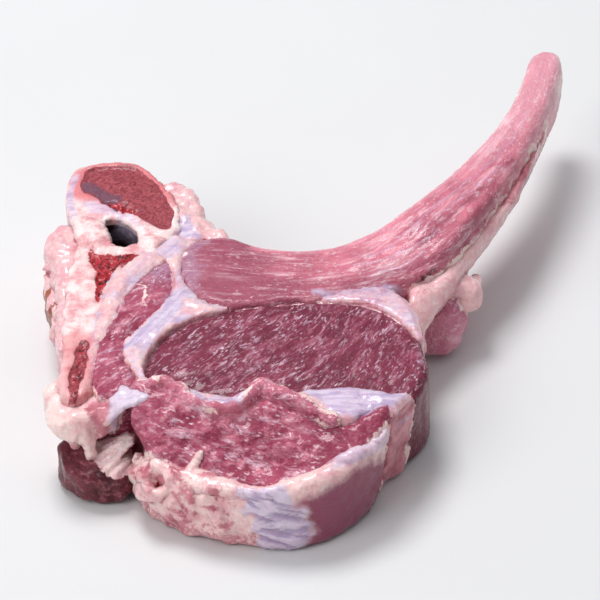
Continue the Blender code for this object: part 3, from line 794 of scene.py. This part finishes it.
def fat_on_cut(points, cut, lip):
    """Fat on the cut face, and the broken stripes of it in the meat."""
    broken = ramp(rough(points, 4.0, 303), -0.5, 0.3)
    return np.maximum.reduce([
        patch(cut, LIGAMENT, 1.2),
        0.8 * patch(cut, CREAM_LUMP, 0.7),
        0.5 * patch(cut, PALE_STRIP, 1.0),
        0.85 * band(cut, FORK_FAT, 1.0, 1.0),
        band(cut, EYE_LEFT_FAT, 0.5),
        0.8 * lines(cut, FLECK_LINES[:2], 0.3, 0.5),
        0.54 * lines(cut, FLECK_LINES[2:], 0.3, 0.5),
        (0.58 + 0.36 * broken) * lip,
        0.62 * lines(cut, LEFT_STRIPES, 0.2, 0.5),
        0.60 * broken * lines(cut, RIB_FILMS, 0.25, 0.5),
    ])


def film_on_cut(points, cut, lip):
    """Membrane on the cut face."""
    return np.maximum.reduce([
        0.8 * patch(cut, JOINT_FILM),
        0.6 * patch(cut, ARCH_FILM, 1.0),
        0.7 * patch(cut, FORK_FILM, 1.2),
        0.85 * patch(cut, WEDGE_FILM),
        0.45 * patch(cut, PALE_STRIP, 1.0),
        0.8 * band(cut, CORNER_FILM, 0.7, 1.0),
        0.6 * band(cut, SPINE_FILM, 0.3),
        0.7 * band(cut, LEFT_FILM, 0.7),
        0.5 * band(cut, FORK_FAT, 0.4, 0.6),
        0.44 * band(cut, EYE_FILM, 0.4, 1.2),
        0.55 * lines(cut, RIB_FILMS, 0.4, 0.7),
        0.9 * lip * ramp(points[:, 0], -17.0, -14.0) * ramp(points[:, 0], -4.0, -7.0),
    ])


def tissue(points):
    """Shares painted on the cut face, the same for every piece: the tissues, and the shade in the canal and
    hollow.
    """
    near_cut = ramp(points[:, 2], 11.5, 14.5)
    cut = wander(points)
    lip = band(cut, CAP_LIP, 0.45, 0.6)
    marrow_depth = depth_in(cut, BODY_MARROW)
    made = {
        "fat": fat_on_cut(points, cut, lip),
        "film": film_on_cut(points, cut, lip),
        "blood": np.maximum.reduce([
            patch(cut, RAGGED_MARROW, 0.8),
            patch(cut, TRIANGLE_MARROW, 1.0),
            0.46 * patch(cut, SPINE_MARROW),
            spot(points, JOINT_BLOOD, 0.5),
        ]),
        "marrow": np.maximum(ramp(marrow_depth, -0.4, 0.5), patch(cut, SPINE_MARROW, 0.6)),
        "grey": patch(cut, GREY_MARROW, 1.2),
        "rosy": np.maximum.reduce([
            0.95 * ramp(marrow_depth, -3.0, -1.0) * ramp(points[:, 1], 11.0, 17.0),
            0.6 * patch(cut, TRIANGLE_MARROW, 2.6),
            0.7 * band(cut, SPINE_MARROW[::3], 3.0, 1.5),
        ]),
        # painted shade: a dark band along the hollow between the rib meat and the strand's web
        "dark": 0.53 * band(points, HOLLOW, 0.7, 0.9),
    }
    made = {name: value * near_cut for name, value in made.items()}
    # painted shade: the canal's walls darken towards its bottom
    canal = ramp(depth_in(points, CANAL), -3.2, -2.0) * ramp(points[:, 2], 17.8, 16.0)
    made["dark"] = np.maximum(canal, made["dark"])
    return made


# ---------------------------------------------------------------- pieces


FLESH_NODES = (
    "eye_muscle", "rib_meat", "back_muscle", "cap_muscle", "low_muscle", "side_muscle", "tail_muscle",
)
FAT_NODES = (
    "seam_fat", "corner_fat", "wedge_fat", "joint_fat", "side_fat", "tip_fat", "edge_fat", "tail_strand",
    "tail_fat",
)
BONE_NODES = ("vertebra", "rib_bone")
LINED_NODES = (
    "vertebra", "eye_muscle", "rib_meat", "back_muscle", "cap_muscle", "seam_fat", "corner_fat",
    "wedge_fat", "joint_fat", "side_fat", "edge_fat",
)
DRY_CENTRE, DRY_HALF = (-7.2, 10.6), (8.4, 3.6)  # the dried oval on the left wall: Y and Z
VESSEL = (-20.6, -54.4, 9.8)
EDGE_BLOOD = (6.1, -58.6, 11.6)
EDGE_NUB = (15.0, -51.6, 3.0)
FAN_HINGE = (-24.6, -43.2, 11.0)
FAN_FOLDS = 14
TIP_PINK = (-31.2, -42.8)
RIB_END = (43.4, 61.0, 17.0)

# Outlines on the edge seen from in front: X and Z.
FRONT_FILM = [
    (-6.2, 13.0), (-4.0, 14.6), (0.0, 14.6), (1.6, 12.0), (4.2, 9.0), (5.8, 5.0), (4.4, 1.0), (-1.7, -1.0),
    (-4.4, 6.0),
]
FRONT_MAUVE = [
    (3.6, 10.4), (7.8, 12.0), (12.3, 13.4), (15.6, 13.4), (17.6, 11.0), (18.6, 4.0), (18.0, -2.0),
    (4.0, -2.0), (5.6, 4.0), (4.6, 8.0),
]

# Strands that stand on the pieces: x, y, z, radius.
CAP_LIP_STRAND = [
    (-24.6, -39.6, 18.4, 0.9), (-22.0, -40.0, 19.1, 1.1), (-19.8, -39.5, 19.3, 1.0),
    (-17.3, -41.1, 19.1, 1.1), (-15.4, -43.1, 18.7, 0.9), (-12.0, -44.8, 18.5, 0.8),
    (-8.0, -45.2, 18.7, 1.0), (-5.2, -43.6, 19.3, 1.2), (-3.2, -41.6, 19.8, 1.3),
    (-0.8, -43.0, 19.5, 1.3), (3.2, -44.6, 18.9, 1.2), (6.6, -47.0, 18.3, 1.0), (9.6, -48.4, 17.7, 0.7),
]
LOBE_STRANDS = [
    [
        (25.6, -3.2, 13.4, 1.3), (28.0, -2.6, 13.0, 1.8), (30.0, -2.0, 12.0, 2.2), (30.6, -2.8, 10.4, 2.2),
        (30.6, -3.8, 8.8, 1.6),
    ],
    [(30.6, -2.4, 10.2, 2.0), (30.6, -0.6, 10.7, 1.9), (30.6, 0.8, 11.0, 1.6), (30.6, 1.8, 11.0, 1.1)],
]
EDGE_STRANDS = [
    [
        (-15.2, -54.0, 9.8, 1.5), (-14.8, -53.4, 11.4, 0.9), (-13.9, -52.5, 13.0, 0.5),
        (-12.9, -51.8, 14.4, 0.25),
    ],
    [
        (-6.5, -58.2, 11.2, 0.8), (-1.6, -59.2, 11.6, 0.9), (2.7, -58.4, 12.2, 1.1),
        (5.6, -57.4, 12.8, 1.2), (8.9, -55.4, 13.4, 1.1), (12.3, -53.4, 14.5, 1.2),
        (15.1, -51.2, 15.0, 0.9),
    ],
    [
        (-24.6, -48.6, 6.6, 1.5), (-22.6, -50.8, 8.4, 1.6), (-18.0, -53.4, 10.2, 1.6),
        (-14.6, -54.8, 10.6, 1.7), (-11.4, -56.4, 11.0, 1.3), (-7.0, -58.0, 11.0, 1.3),
    ],
    [(-23.6, -50.4, 5.0, 1.2), (-22.2, -53.4, 7.0, 1.5), (-18.8, -54.2, 9.0, 1.3)],
    [(-17.4, -54.6, 7.0, 1.4), (-16.6, -56.0, 4.6, 1.5), (-13.8, -57.2, 6.0, 1.2)],
    [(-12.4, -57.6, 9.6, 1.2), (-10.4, -58.6, 7.0, 1.3), (-9.0, -59.0, 3.6, 1.0)],
]
TIP_STRANDS = [
    [
        (-33.6, -44.2, 13.0, 1.9), (-33.0, -45.0, 10.6, 1.2), (-32.8, -45.2, 8.0, 0.6),
        (-32.8, -45.0, 5.2, 0.35),
    ],
    [(-39.4, -38.6, 13.4, 1.8), (-37.8, -43.0, 13.2, 2.0), (-34.4, -45.2, 12.4, 1.8)],
]

# Sheets that stand on the pieces, as rows of (x, y, z).
TIP_FLAP = [
    [(-33.0, -37.0, 15.2), (-30.2, -37.4, 15.9), (-27.6, -38.9, 18.0), (-23.0, -42.3, 19.2)],
    [(-33.0, -40.4, 15.4), (-30.0, -40.8, 15.9), (-26.8, -41.6, 18.0), (-22.4, -42.7, 19.1)],
    [(-33.0, -43.8, 14.6), (-29.6, -44.4, 14.6), (-26.4, -43.9, 17.4), (-23.0, -43.3, 18.8)],
]
STRAND_WEB = [
    [(22.6, -5.0, 15.2), (25.2, -4.2, 14.6), (27.8, -3.4, 13.4)],
    [(20.6, -8.6, 15.6), (23.4, -8.0, 15.0), (26.4, -7.4, 12.8)],
    [(20.4, -12.0, 15.0), (22.6, -11.6, 14.2), (24.6, -11.2, 12.0)],
    [(21.2, -15.4, 12.6), (22.0, -15.2, 12.0), (22.8, -15.0, 11.0)],
    [(22.4, -18.0, 9.4), (22.8, -18.0, 9.0), (23.2, -18.0, 8.6)],
]
SEAM_RIBBON = [
    [(-27.4, -0.6, 17.6), (-25.2, -1.8, 18.3), (-23.4, -3.2, 17.8)],
    [(-30.2, -4.6, 17.5), (-28.2, -5.8, 18.2), (-26.4, -7.0, 17.6)],
    [(-32.4, -10.6, 17.3), (-30.6, -11.2, 18.0), (-29.0, -11.8, 17.4)],
    [(-33.4, -17.6, 17.1), (-31.8, -18.0, 17.8), (-30.4, -18.4, 17.2)],
    [(-34.0, -25.4, 16.9), (-32.7, -25.8, 17.5), (-31.6, -26.2, 17.0)],
]


def along_rib(points):
    """Each point's place along the rib's line, to the left of it, and up."""
    distance, position, side = along_line(points, curve_through(RIB_LINE))
    return np.stack([position, distance * side, points[:, 2]], axis=1)


def relief_on_cut(skin, shares, seed):
    """How far the painted tissues stand out of the cut face, in millimetres."""
    pits = rough(skin.points, 1.1, seed + 50, 2)
    relief = 0.25 * shares["fat"] + 0.15 * shares["film"] - (0.5 + 0.9 * pits) * shares["blood"]
    return relief - (0.15 + 0.1 * pits) * shares["marrow"]


def shape(skin, seed, top=0.3, side=0.25, overlap=0.5, ragged=0.5, lumps=0.2, size=2.4, grain=None,
          tone=0.0, fibre=None, rosy=None):
    """Give a piece its lumps, let it meet its neighbours in a ragged line, and paint the tissues on it.

    The cut face moves out by top and the walls by side, or by the overlap where they meet another piece,
    more or less by the ragged. The lumps are about one size across, in the axes of the grain. Tone, fibre
    and rosy are painted as they are given. Returns 1 close to flesh, 0 away from it.
    """
    to_flesh, to_fat, to_bone = (
        distance_to(skin.points, [node for node in nodes if node not in skin.nodes])
        for nodes in (FLESH_NODES, FAT_NODES, BONE_NODES)
    )
    shares = tissue(skin.points)
    up, wall = skin.facing_up(), skin.wall()
    meeting = ramp(np.minimum(np.minimum(to_flesh, to_fat), to_bone), 1.8, 0.6)
    crest = rough(skin.points if grain is None else grain, size, seed)
    border = overlap + ragged * rough(skin.points, 2.0, seed + 70, 2)
    outward = wall * (side + (border - side) * meeting)
    skin.push(outward + up * (top + relief_on_cut(skin, shares, seed)) + lumps * crest)
    to_pale = np.minimum(to_fat, to_bone)
    creeping = ramp(to_pale + 1.2 * rough(skin.points, 4.0, seed + 90, 2), 2.6, 0.2) * wall
    shares["fat"] = np.maximum.reduce([shares["fat"], 0.5 * ramp(to_pale, 1.5, 0.2), 0.72 * creeping])
    if rosy is not None:
        shares["rosy"] = rosy
    skin.paint(crest=crest, tone=tone, fold=0.0, fibre=skin.points if fibre is None else fibre, **shares)
    return ramp(to_flesh, 1.5, 0.2)


def build_core(material):
    """Connective tissue just under the surface, which closes the seams between the pieces."""
    skin = Skin("seam_lining", LINED_NODES, voxel=0.6, soften=3, swell=0.45)
    shares = tissue(skin.points)
    canal = ramp(depth_in(skin.points, CANAL), -3.0, -1.0)
    cap_end = ramp(skin.x, -21.5, -23.5) * ramp(skin.y, -41.0, -42.5)
    beside_eye = skin.beside(["eye_muscle"], 3.0, 0.6)
    skin.push(-0.7 - 1.4 * shares["blood"] - 1.3 * canal - 1.5 * cap_end)
    shares["fat"] = 0.0
    skin.paint(meat=0.7 + 0.3 * rough(skin.points, 5.0, 5), mauve=0.5 * beside_eye, fold=0.0,
               fibre=skin.points, **shares)
    skin.finish(material, "fat", ())


def build_eye(material):
    """The large muscle, whose fibres turn towards its right end."""
    skin = Skin("eye_of_loin", "eye_muscle", voxel=0.38, soften=5)
    fibre = turned(skin.points - (0.0, -28.0, 0.0), 48.0 + 22.0 * ramp(skin.x, -4.0, 20.0))
    wall = skin.wall()
    # painted shade: the walls are toned much darker; the right end of the cut face is a little lighter
    tone = 0.35 * ramp(skin.x, 12.0, 22.0) * (1.0 - wall) - 2.2 * wall
    shape(skin, 21, lumps=0.11, size=1.5, grain=fibre / (1.8, 1.0, 1.0), fibre=fibre, tone=tone)
    skin.finish(material, "dark_muscle")


def from_far_wall(skin, fibre):
    """Distance from the rib meat's far wall, but more at its left end."""
    beyond = skin.points[(skin.normals[:, 2] < 0.5) & (fibre[:, 1] > 1.0)]
    tree = KDTree(len(beyond))
    for index, point in enumerate(beyond):
        tree.insert(Vector(point), index)
    tree.balance()
    distance = np.array([tree.find(Vector(point))[2] for point in skin.points])
    return distance + 4.0 * ramp(skin.x, -7.0, -12.0)


def build_rib_meat(material):
    """The meat along the rib: paler towards its tip and at its far edge, where pale tissue lies under a
    painted highlight; darker in its grooves, which is painted shade.
    """
    skin = Skin("rib_flesh", "rib_meat")
    fibre = along_rib(skin.points)
    toward_tip = ramp(skin.y, 10.0, 46.0)
    outer = ramp(fibre[:, 1], -1.5, -4.0) * ramp(skin.x, 30.0, 20.0)
    groove = lines(wander(skin.points), RIB_GROOVES, 0.5, 0.9)
    # painted shade: darker along the grooves; the tone is also lighter towards the tip, darker at the left
    # end and on the outer side
    tone = 1.1 * toward_tip - 1.3 * ramp(skin.x, 4.0, -9.0) - 0.7 * outer - 1.4 * groove
    shape(skin, 31, lumps=0.11, size=1.6, grain=fibre / (4.0, 1.0, 1.0), fibre=fibre)
    from_edge = from_far_wall(skin, fibre)
    rim = ramp(from_edge, 3.2, 1.0)
    # painted highlight: the tone is lighter along the far edge
    skin.repaint("tone", tone * (1.0 - rim) + 1.1 * rim)
    streaky = 0.3 * rough(fibre / (5.0, 1.0, 1.6), 1.8, 34, 2) * skin.wall()
    speckled = 0.12 * rough(skin.points, 1.6, 32, 2)
    skin.repaint("fat", 0.50 + speckled + streaky, ramp(from_edge, 2.2, 0.6))
    left_end = ramp(skin.x + 1.5 * rough(skin.points, 4.0, 33), -13.0, -18.0)
    skin.repaint("film", 0.55, 0.8 * left_end * skin.facing_up())
    skin.finish(material, "pink_muscle")


def build_wedge(material):
    """The white membrane between the eye and the cap, meaty where it meets the cap."""
    skin = Skin("wedge", "wedge_fat")
    shape(skin, 110, lumps=0.45, size=4.0, rosy=0.8)
    beside_cap = skin.beside(["cap_muscle"], 1.6, 0.2)
    skin.paint(meat=np.maximum(ramp(skin.z, 17.8, 16.2), 0.6 * beside_cap))
    skin.finish(material, "silverskin")


def build_strand(material):
    """The strand widens at its low end into a thin web, which ends between the eye and the small muscle."""
    skin = Skin("tail_cord", "tail_strand", soften=24, extra=[sheet(STRAND_WEB, 2.4)])
    high = ramp(skin.y, -6.0, 0.0)
    skin.push(-0.5 * high)
    skin.push(0.7 * high, (-0.85, 0.4, 0.3))
    fibre = along_rib(skin.points)
    shape(skin, 115, top=0.0, side=0.0, overlap=0.2, ragged=0.2, lumps=0.25, size=4.0, fibre=fibre,
          rosy=0.75)
    upper = ramp(skin.y, 4.0, 22.0)
    skin.paint(meat=0.2 + 0.45 * upper + 0.3 * rough(fibre / (6.0, 1.0, 1.0), 1.2, 117))
    # the strand gets no painted shade
    skin.repaint("dark", 0.0)
    skin.finish(material, "fat")


def build_tail_lobe(material):
    """The lump of fat on the small muscle, and its bridge to the strand."""
    extra = [strand(path) for path in LOBE_STRANDS]
    skin = Skin("tail_lobe", "tail_fat", voxel=0.35, soften=18, extra=extra)
    skin.push(-0.7 * ramp(skin.z, 6.0, 11.0), (0.0, 0.0, 1.0))
    shape(skin, 116, top=0.2, side=0.5, ragged=0.1, lumps=0.3, size=3.4, rosy=0.7)
    skin.paint(meat=0.2)
    skin.finish(material, "fat")


def build_nub(material):
    """The small muscle under the strand."""
    skin = Skin("nub_flesh", "tail_muscle", soften=24, swell=0.4)
    left = ramp(skin.x, 25.0, 22.5) * skin.wall()
    skin.push(1.6 * left, (-1.0, -0.3, 0.0))
    shape(skin, 105, side=0.5, lumps=0.3, fibre=turned(skin.points, 60.0))
    skin.finish(material, "dark_muscle")


def build_side_flesh(material):
    """The dried strip on the backbone, with fat that creeps over its border."""
    skin = Skin("side_flesh", "side_muscle", soften=14)
    around_it = skin.beside(["side_fat", "vertebra"], 2.8, 0.3)
    shape(skin, 104, top=0.2, side=0.2, ragged=0.9, lumps=0.5, size=3.2, fibre=turned(skin.points, 80.0),
          rosy=0.8)
    across = (skin.points[:, 1:] - DRY_CENTRE) / DRY_HALF
    outside = ramp(np.linalg.norm(across, axis=1) + 0.6 * rough(skin.points, 3.0, 122), 0.6, 0.9)
    skin.repaint("fat", np.maximum(0.55 * around_it + 0.28 * rough(skin.points, 2.6, 119), 0.8 * outside))
    skin.finish(material, "dry_muscle")


def build_back(material):
    """The long muscle beside the backbone, under a haze of membrane at its upper end."""
    skin = Skin("back_flesh", "back_muscle")
    shape(skin, 101, lumps=0.3, size=3.0, tone=-0.45, fibre=turned(skin.points, 50.0))
    haze = ramp(skin.y + 2.0 * rough(skin.points, 4.0, 121), -17.0, -5.0)
    skin.repaint("film", 0.6, 0.8 * haze * skin.facing_up())
    skin.finish(material, "red_muscle")


def build_fat(name, node, material, soften=6, **look):
    """A plain lump of fat."""
    skin = Skin(name, node, soften=soften)
    skin.paint(meat=0.45 * shape(skin, **look))
    skin.finish(material, "fat")


def build_seam(material):
    """The fork between the muscles: white and lavender, and thin next to the eye, which shows through.

    A ribbon of it lies over the groove between the backbone and the back muscle.
    """
    skin = Skin("seam", "seam_fat", extra=[sheet(SEAM_RIBBON, 1.5)], swell=0.2)
    flesh_side = shape(skin, 108, top=0.0, fibre=turned(skin.points, 63.0), rosy=0.5)
    beside_eye = skin.beside(["eye_muscle"], 2.4, 0.2)
    on_ribbon = patch(skin.points, PALE_STRIP, 1.5)
    cloudy = 0.5 - 0.2 * on_ribbon + 0.4 * rough(skin.points, 4.0, 118)
    veil = skin.facing_up() * cloudy * ramp(skin.z, 15.0, 16.5)
    skin.paint(meat=0.60 * flesh_side * (1.0 - on_ribbon) + 0.3 * on_ribbon, mauve=0.66 * beside_eye)
    skin.repaint("film", np.maximum(veil, patch(wander(skin.points), FORK_FILM, 1.4)))
    skin.finish(material, "fat")


def build_corner(material):
    """The membrane between the eye, the rib meat and the strand."""
    skin = Skin("corner", "corner_fat")
    shape(skin, 109, top=0.05, rosy=0.8)
    beside_eye = skin.beside(["eye_muscle"], 1.6, 0.2)
    inner = ramp(skin.x, 20.0, 16.0)
    skin.paint(meat=0.5 * inner + 0.2 * rough(skin.points, 3.0, 17), mauve=0.5 * beside_eye)
    veil = skin.facing_up() * (0.52 + 0.2 * rough(skin.points, 4.0, 120))
    skin.repaint("film", np.maximum(veil, 0.8 * band(wander(skin.points), CORNER_FILM, 0.7, 1.0)))
    skin.finish(material, "fat")


def build_cap(material):
    """The red muscle in front of the eye, with a lip along its far edge; its right end is darker."""
    skin = Skin("cap_flesh", "cap_muscle", extra=[strand(CAP_LIP_STRAND)])
    lump = patch(skin.points, CAP_LUMP, 1.2) * skin.facing_up()
    left_end = ramp(skin.x, -22.6, -24.4) * skin.wall()
    skin.push(0.5 * lump)
    skin.push(left_end * (1.3 - 1.9 * ramp(skin.z, 11.0, 15.0)), (1.0, -0.2, 0.0))
    right = ramp(skin.x + 1.5 * rough(skin.points, 5.0, 42), 2.0, 14.0)
    beside_lip = band(wander(skin.points, 1.0), CAP_LIP, 1.9, 1.4) * (1.0 - 0.6 * right)
    # painted shade: the wall at the left end is toned darker
    shape(skin, 102, lumps=0.45, size=2.8, tone=1.3 * beside_lip - 2.0 * right - 0.8 * left_end,
          fibre=turned(skin.points, -20.0))
    skin.repaint("fat", 0.0, left_end)
    skin.finish(material, "red_muscle")


def build_edge(material):
    """The fat over the cap's outer wall: lumps and a cut vessel, then folded membrane, then mauve."""
    skin = Skin("edge_pad", "edge_fat", extra=[strand(path) for path in EDGE_STRANDS])
    warp = 1.2 * rough(skin.points, 3.0, 12, 2)
    front_view = np.stack([skin.x + warp, skin.z + 0.6 * warp], axis=1)
    nx, ny, _ = skin.normals.T
    film = patch(front_view, FRONT_FILM, 1.7) * ramp(-ny, 0.1, 0.6)
    mauve = patch(front_view, FRONT_MAUVE, 2.2) * ramp(0.8 * nx - ny, 0.1, 0.6)
    # painted highlight: pale membrane colour along the top of the right part, as a sheen
    sheen = 0.6 * ramp(skin.x + warp, 7.0, 10.0) * ramp(skin.z, 13.4, 14.8)
    left = ramp(skin.x + warp, -4.0, -8.0)
    slanted = np.stack([skin.x - 0.35 * skin.z, skin.y, skin.z + 0.35 * skin.x], axis=1)
    bent = rough(skin.points, 5.0, 18).reshape(-1, 1)
    folds = ridged(slanted / (7.0, 3.5, 1.0) + 0.25 * bent, 1.3, 7)
    # painted shade in the grooves between the folds
    groove = ramp(folds, 0.70, 0.40)
    vessel = spot(skin.points, VESSEL, 1.4, 0.6)
    ring = spot(skin.points, VESSEL, 2.6, 0.7) - vessel
    stretched = turned(skin.points, -25.0) / (1.6, 1.0, 1.0)
    lumpy = left * (0.7 * rough(stretched, 4.2, 8, 2) + 0.5 * ridged(stretched, 3.2, 28))
    skin.push(lumpy * ramp(skin.z, 12.8, 11.4) + 0.7 * film * folds + 0.4 * ring - 3.2 * vessel)
    fibre = slanted + 0.5 * rough(skin.points, 4.0, 18).reshape(-1, 1)
    flesh_side = shape(skin, 114, size=2.0, fibre=fibre, rosy=0.3)
    meat = np.maximum.reduce([
        0.55 * flesh_side,
        left * (0.42 + 0.5 * rough(stretched, 2.2, 38)),
        0.55 * ramp(skin.z, 7.0, 2.0),
        0.7 * spot(skin.points, EDGE_NUB, 1.6, 0.8),
    ])
    # painted shade: mauve and less membrane in the fold grooves; the fold value below paints highlight on
    # the crests
    skin.paint(meat=meat, mauve=np.maximum(mauve, 0.5 * film * groove))
    skin.repaint("film", np.maximum(film * (1.0 - 0.3 * groove), sheen))
    skin.repaint("fold", (2.0 * folds - 1.2) * film)
    skin.repaint("blood", np.maximum(vessel, spot(skin.points, EDGE_BLOOD, 0.3, 0.4)))
    skin.finish(material, "fat")


def fan_rows():
    """A fan of pleats that spreads from its hinge, as rows of points."""
    rows = []
    for fold in range(FAN_FOLDS + 1):
        turn = math.radians(150.0 + 75.0 * fold / FAN_FOLDS)
        out = np.array((math.cos(turn), 0.75 * math.sin(turn), -0.62))
        lift = np.array((0.0, 0.0, 0.9 if fold % 2 else 0.0))
        rows.append([FAN_HINGE + reach * out + (reach / 8.0) * lift for reach in (1.5, 5.0, 8.5)])
    return rows


def build_low(material):
    """The small muscle under the tip; a folded membrane fans out over its upper side."""
    skin = Skin("low_flesh", "low_muscle", voxel=0.35, soften=14, extra=[sheet(fan_rows(), 1.1)])
    away = skin.points - FAN_HINGE
    fan = ramp(np.linalg.norm(away, axis=1), 10.0, 8.0) * ramp(skin.z, 5.0, 6.5)
    ribs = np.cos(26.0 * np.arctan2(away[:, 1], away[:, 0]))
    skin.push(0.7 * rough(skin.points, 5.0, 9) * (1.0 - fan) + 0.28 * fan * ribs)
    shape(skin, 103, top=0.1, side=0.1, lumps=0.25, fibre=turned(skin.points, -48.0))
    skin.repaint("fat", 0.8 * fan)
    skin.repaint("film", 0.34 * fan)
    # painted light and shade: the membrane is whiter on the pleats' ridges and more lavender in their
    # hollows
    skin.repaint("fold", ribs * fan)
    skin.finish(material, "dark_muscle")


def build_tip(material):
    """The fat at the spine's tip, with a flap of membrane, a curtain that hangs down, and a lobe."""
    extra = [sheet(TIP_FLAP, 1.0)] + [strand(path) for path in TIP_STRANDS]
    skin = Skin("tip_pad", "tip_fat", extra=extra)
    shape(skin, 113, top=0.2, lumps=0.45, size=2.8)
    flap_area = ramp(skin.x + 0.6 * rough(skin.points, 2.0, 14), -30.6, -28.4)
    skin.paint(meat=0.8 * spot(skin.points, TIP_PINK, 2.5, 1.2))
    skin.repaint("film", 0.8 * flap_area)
    skin.repaint("fold", 0.7 * flap_area)
    skin.finish(material, "fat")


def build_bone(material):
    """The sawn backbone, round its canal."""
    skin = Skin("backbone", "vertebra", soften=4)
    up = skin.facing_up()
    rim = ramp(np.abs(depth_in(skin.points, BODY_MARROW) + 0.5), 1.0, 0.3)
    lump = patch(skin.points, CREAM_LUMP, 1.4) + 0.6 * patch(skin.points, LIGAMENT, 1.2)
    arch = patch(skin.points, ARCH_FILM, 0.9)
    canal_wall = ramp(np.abs(depth_in(skin.points, CANAL)), 2.0, 1.0) * skin.wall()
    skin.push(-0.7 * canal_wall)
    skin.push(up * (0.35 * rim + 0.9 * lump + 0.4 * arch * ridged(skin.points, 2.4, 3)))
    shape(skin, 106, top=0.1, lumps=0.14, size=1.8)
    skin.finish(material, "bone")


def build_rib_bone(material):
    """The rib, which shows its marrow at the tip."""
    skin = Skin("rib", "rib_bone", voxel=0.7)
    skin.push(0.05 * rough(skin.points, 2.0, 107))
    tip = spot(skin.points, RIB_END, 1.6, 0.6)
    skin.paint(marrow=tip, blood=0.3 * tip, grey=0.0, film=0.0, dark=0.0, fold=0.0, rosy=0.3,
               fibre=skin.points)
    skin.finish(material, "rib_bone")


def build_object():
    """Every piece of the chop."""
    muscle = {name: flesh(name, **look) for name, look in FLESH.items()}
    fat = fat_material("fat_tissue")
    tendon = fat_material("tendon", depth=0.14, matt=0.18)
    bone = bone_material("sawn_bone")
    build_core(fat)
    build_eye(muscle["dark_flesh"])
    build_rib_meat(muscle["pink_flesh"])
    build_back(muscle["red_flesh"])
    build_cap(muscle["red_flesh"])
    build_low(muscle["brown_flesh"])
    build_side_flesh(muscle["dry_flesh"])
    build_nub(muscle["nub_flesh"])
    build_bone(bone)
    build_seam(fat)
    build_corner(fat)
    build_wedge(fat)
    build_fat("joint", "joint_fat", fat, seed=111, rosy=0.75, lumps=0.5, size=2.8)
    build_fat("side_pad", "side_fat", fat, seed=112, rosy=0.8, soften=40, ragged=0.9, lumps=0.55, size=3.4)
    build_tip(fat)
    build_edge(fat)
    build_strand(tendon)
    build_tail_lobe(tendon)
    build_rib_bone(bone)


# ---------------------------------------------------------------- stage, light and camera


def build_floor():
    """A plain pale board, four metres across."""
    half = 2.0
    mesh = bpy.data.meshes.new("floor")
    corners = [(-half, -half, 0), (half, -half, 0), (half, half, 0), (-half, half, 0)]
    mesh.from_pydata(corners, [], [(0, 1, 2, 3)])
    floor = bpy.data.objects.new("floor", mesh)
    bpy.context.scene.collection.objects.link(floor)
    graph = Graph("floor_board")
    tone = graph.noise(graph.place(), 60.0)
    pale = graph.mix(tone, srgb(214, 213, 212), srgb(220, 219, 218))
    mesh.materials.append(graph.finish(pale, 0.6, graph.bump(tone, 0.01)))


def aim(thing, position, target, roll=0.0):
    """Put a light or the camera at a place in millimetres, looking at another."""
    position, target = Vector(position) * MM, Vector(target) * MM
    turn = (target - position).to_track_quat("-Z", "Y").to_matrix().to_4x4()
    rolled = Matrix.Rotation(math.radians(roll), 4, "Z")
    thing.matrix_world = Matrix.Translation(position) @ turn @ rolled


def around(azimuth, elevation, distance):
    """A place seen from the view's target at an azimuth from -Y towards +X and an elevation, in degrees."""
    a, e = math.radians(azimuth), math.radians(elevation)
    way = np.array([math.sin(a) * math.cos(e), -math.cos(a) * math.cos(e), math.sin(e)])
    return np.array(VIEW_TARGET) + distance * way


def area_light(name, azimuth, elevation, distance, size, power, colour):
    """A round soft light on the view's target, with its distance and size in millimetres."""
    light = bpy.data.lights.new(name, "AREA")
    light.shape = "DISK"
    light.size = size * MM
    light.energy = power
    light.color = colour
    lamp = bpy.data.objects.new(name, light)
    bpy.context.scene.collection.objects.link(lamp)
    aim(lamp, around(azimuth, elevation, distance), VIEW_TARGET)


def build_room():
    """A soft surrounding light that is brighter towards the ceiling."""
    world = bpy.data.worlds.new("soft_room")
    world.use_nodes = True
    nodes, links = world.node_tree.nodes, world.node_tree.links
    background = nodes["Background"]
    background.inputs["Color"].default_value = (0.92, 0.95, 1.0, 1.0)
    way = nodes.new("ShaderNodeTexCoord")
    height = nodes.new("ShaderNodeSeparateXYZ")
    ceiling = nodes.new("ShaderNodeMapRange")
    for name, value in CEILING.items():
        ceiling.inputs[name].default_value = value
    links.new(way.outputs["Generated"], height.inputs["Vector"])
    links.new(height.outputs["Z"], ceiling.inputs["Value"])
    links.new(ceiling.outputs["Result"], background.inputs["Strength"])
    bpy.context.scene.world = world


def build_view():
    """The lights and the camera."""
    scene = bpy.context.scene
    build_room()
    area_light("window", -150.0, 66.0, 900.0, 360.0, 5.4, (0.97, 0.98, 1.0))
    area_light("room", -48.0, 38.0, 1100.0, 700.0, 4.4, (0.98, 0.98, 1.0))
    camera = bpy.data.objects.new("camera", bpy.data.cameras.new("camera"))
    camera.data.lens = LENS
    camera.data.clip_start = 0.01
    scene.collection.objects.link(camera)
    aim(camera, around(VIEW_AZIMUTH, VIEW_ELEVATION, VIEW_DISTANCE), VIEW_TARGET, VIEW_ROLL)
    scene.camera = camera
    scene.view_settings.view_transform = "Standard"


build_object()
build_floor()
build_view()
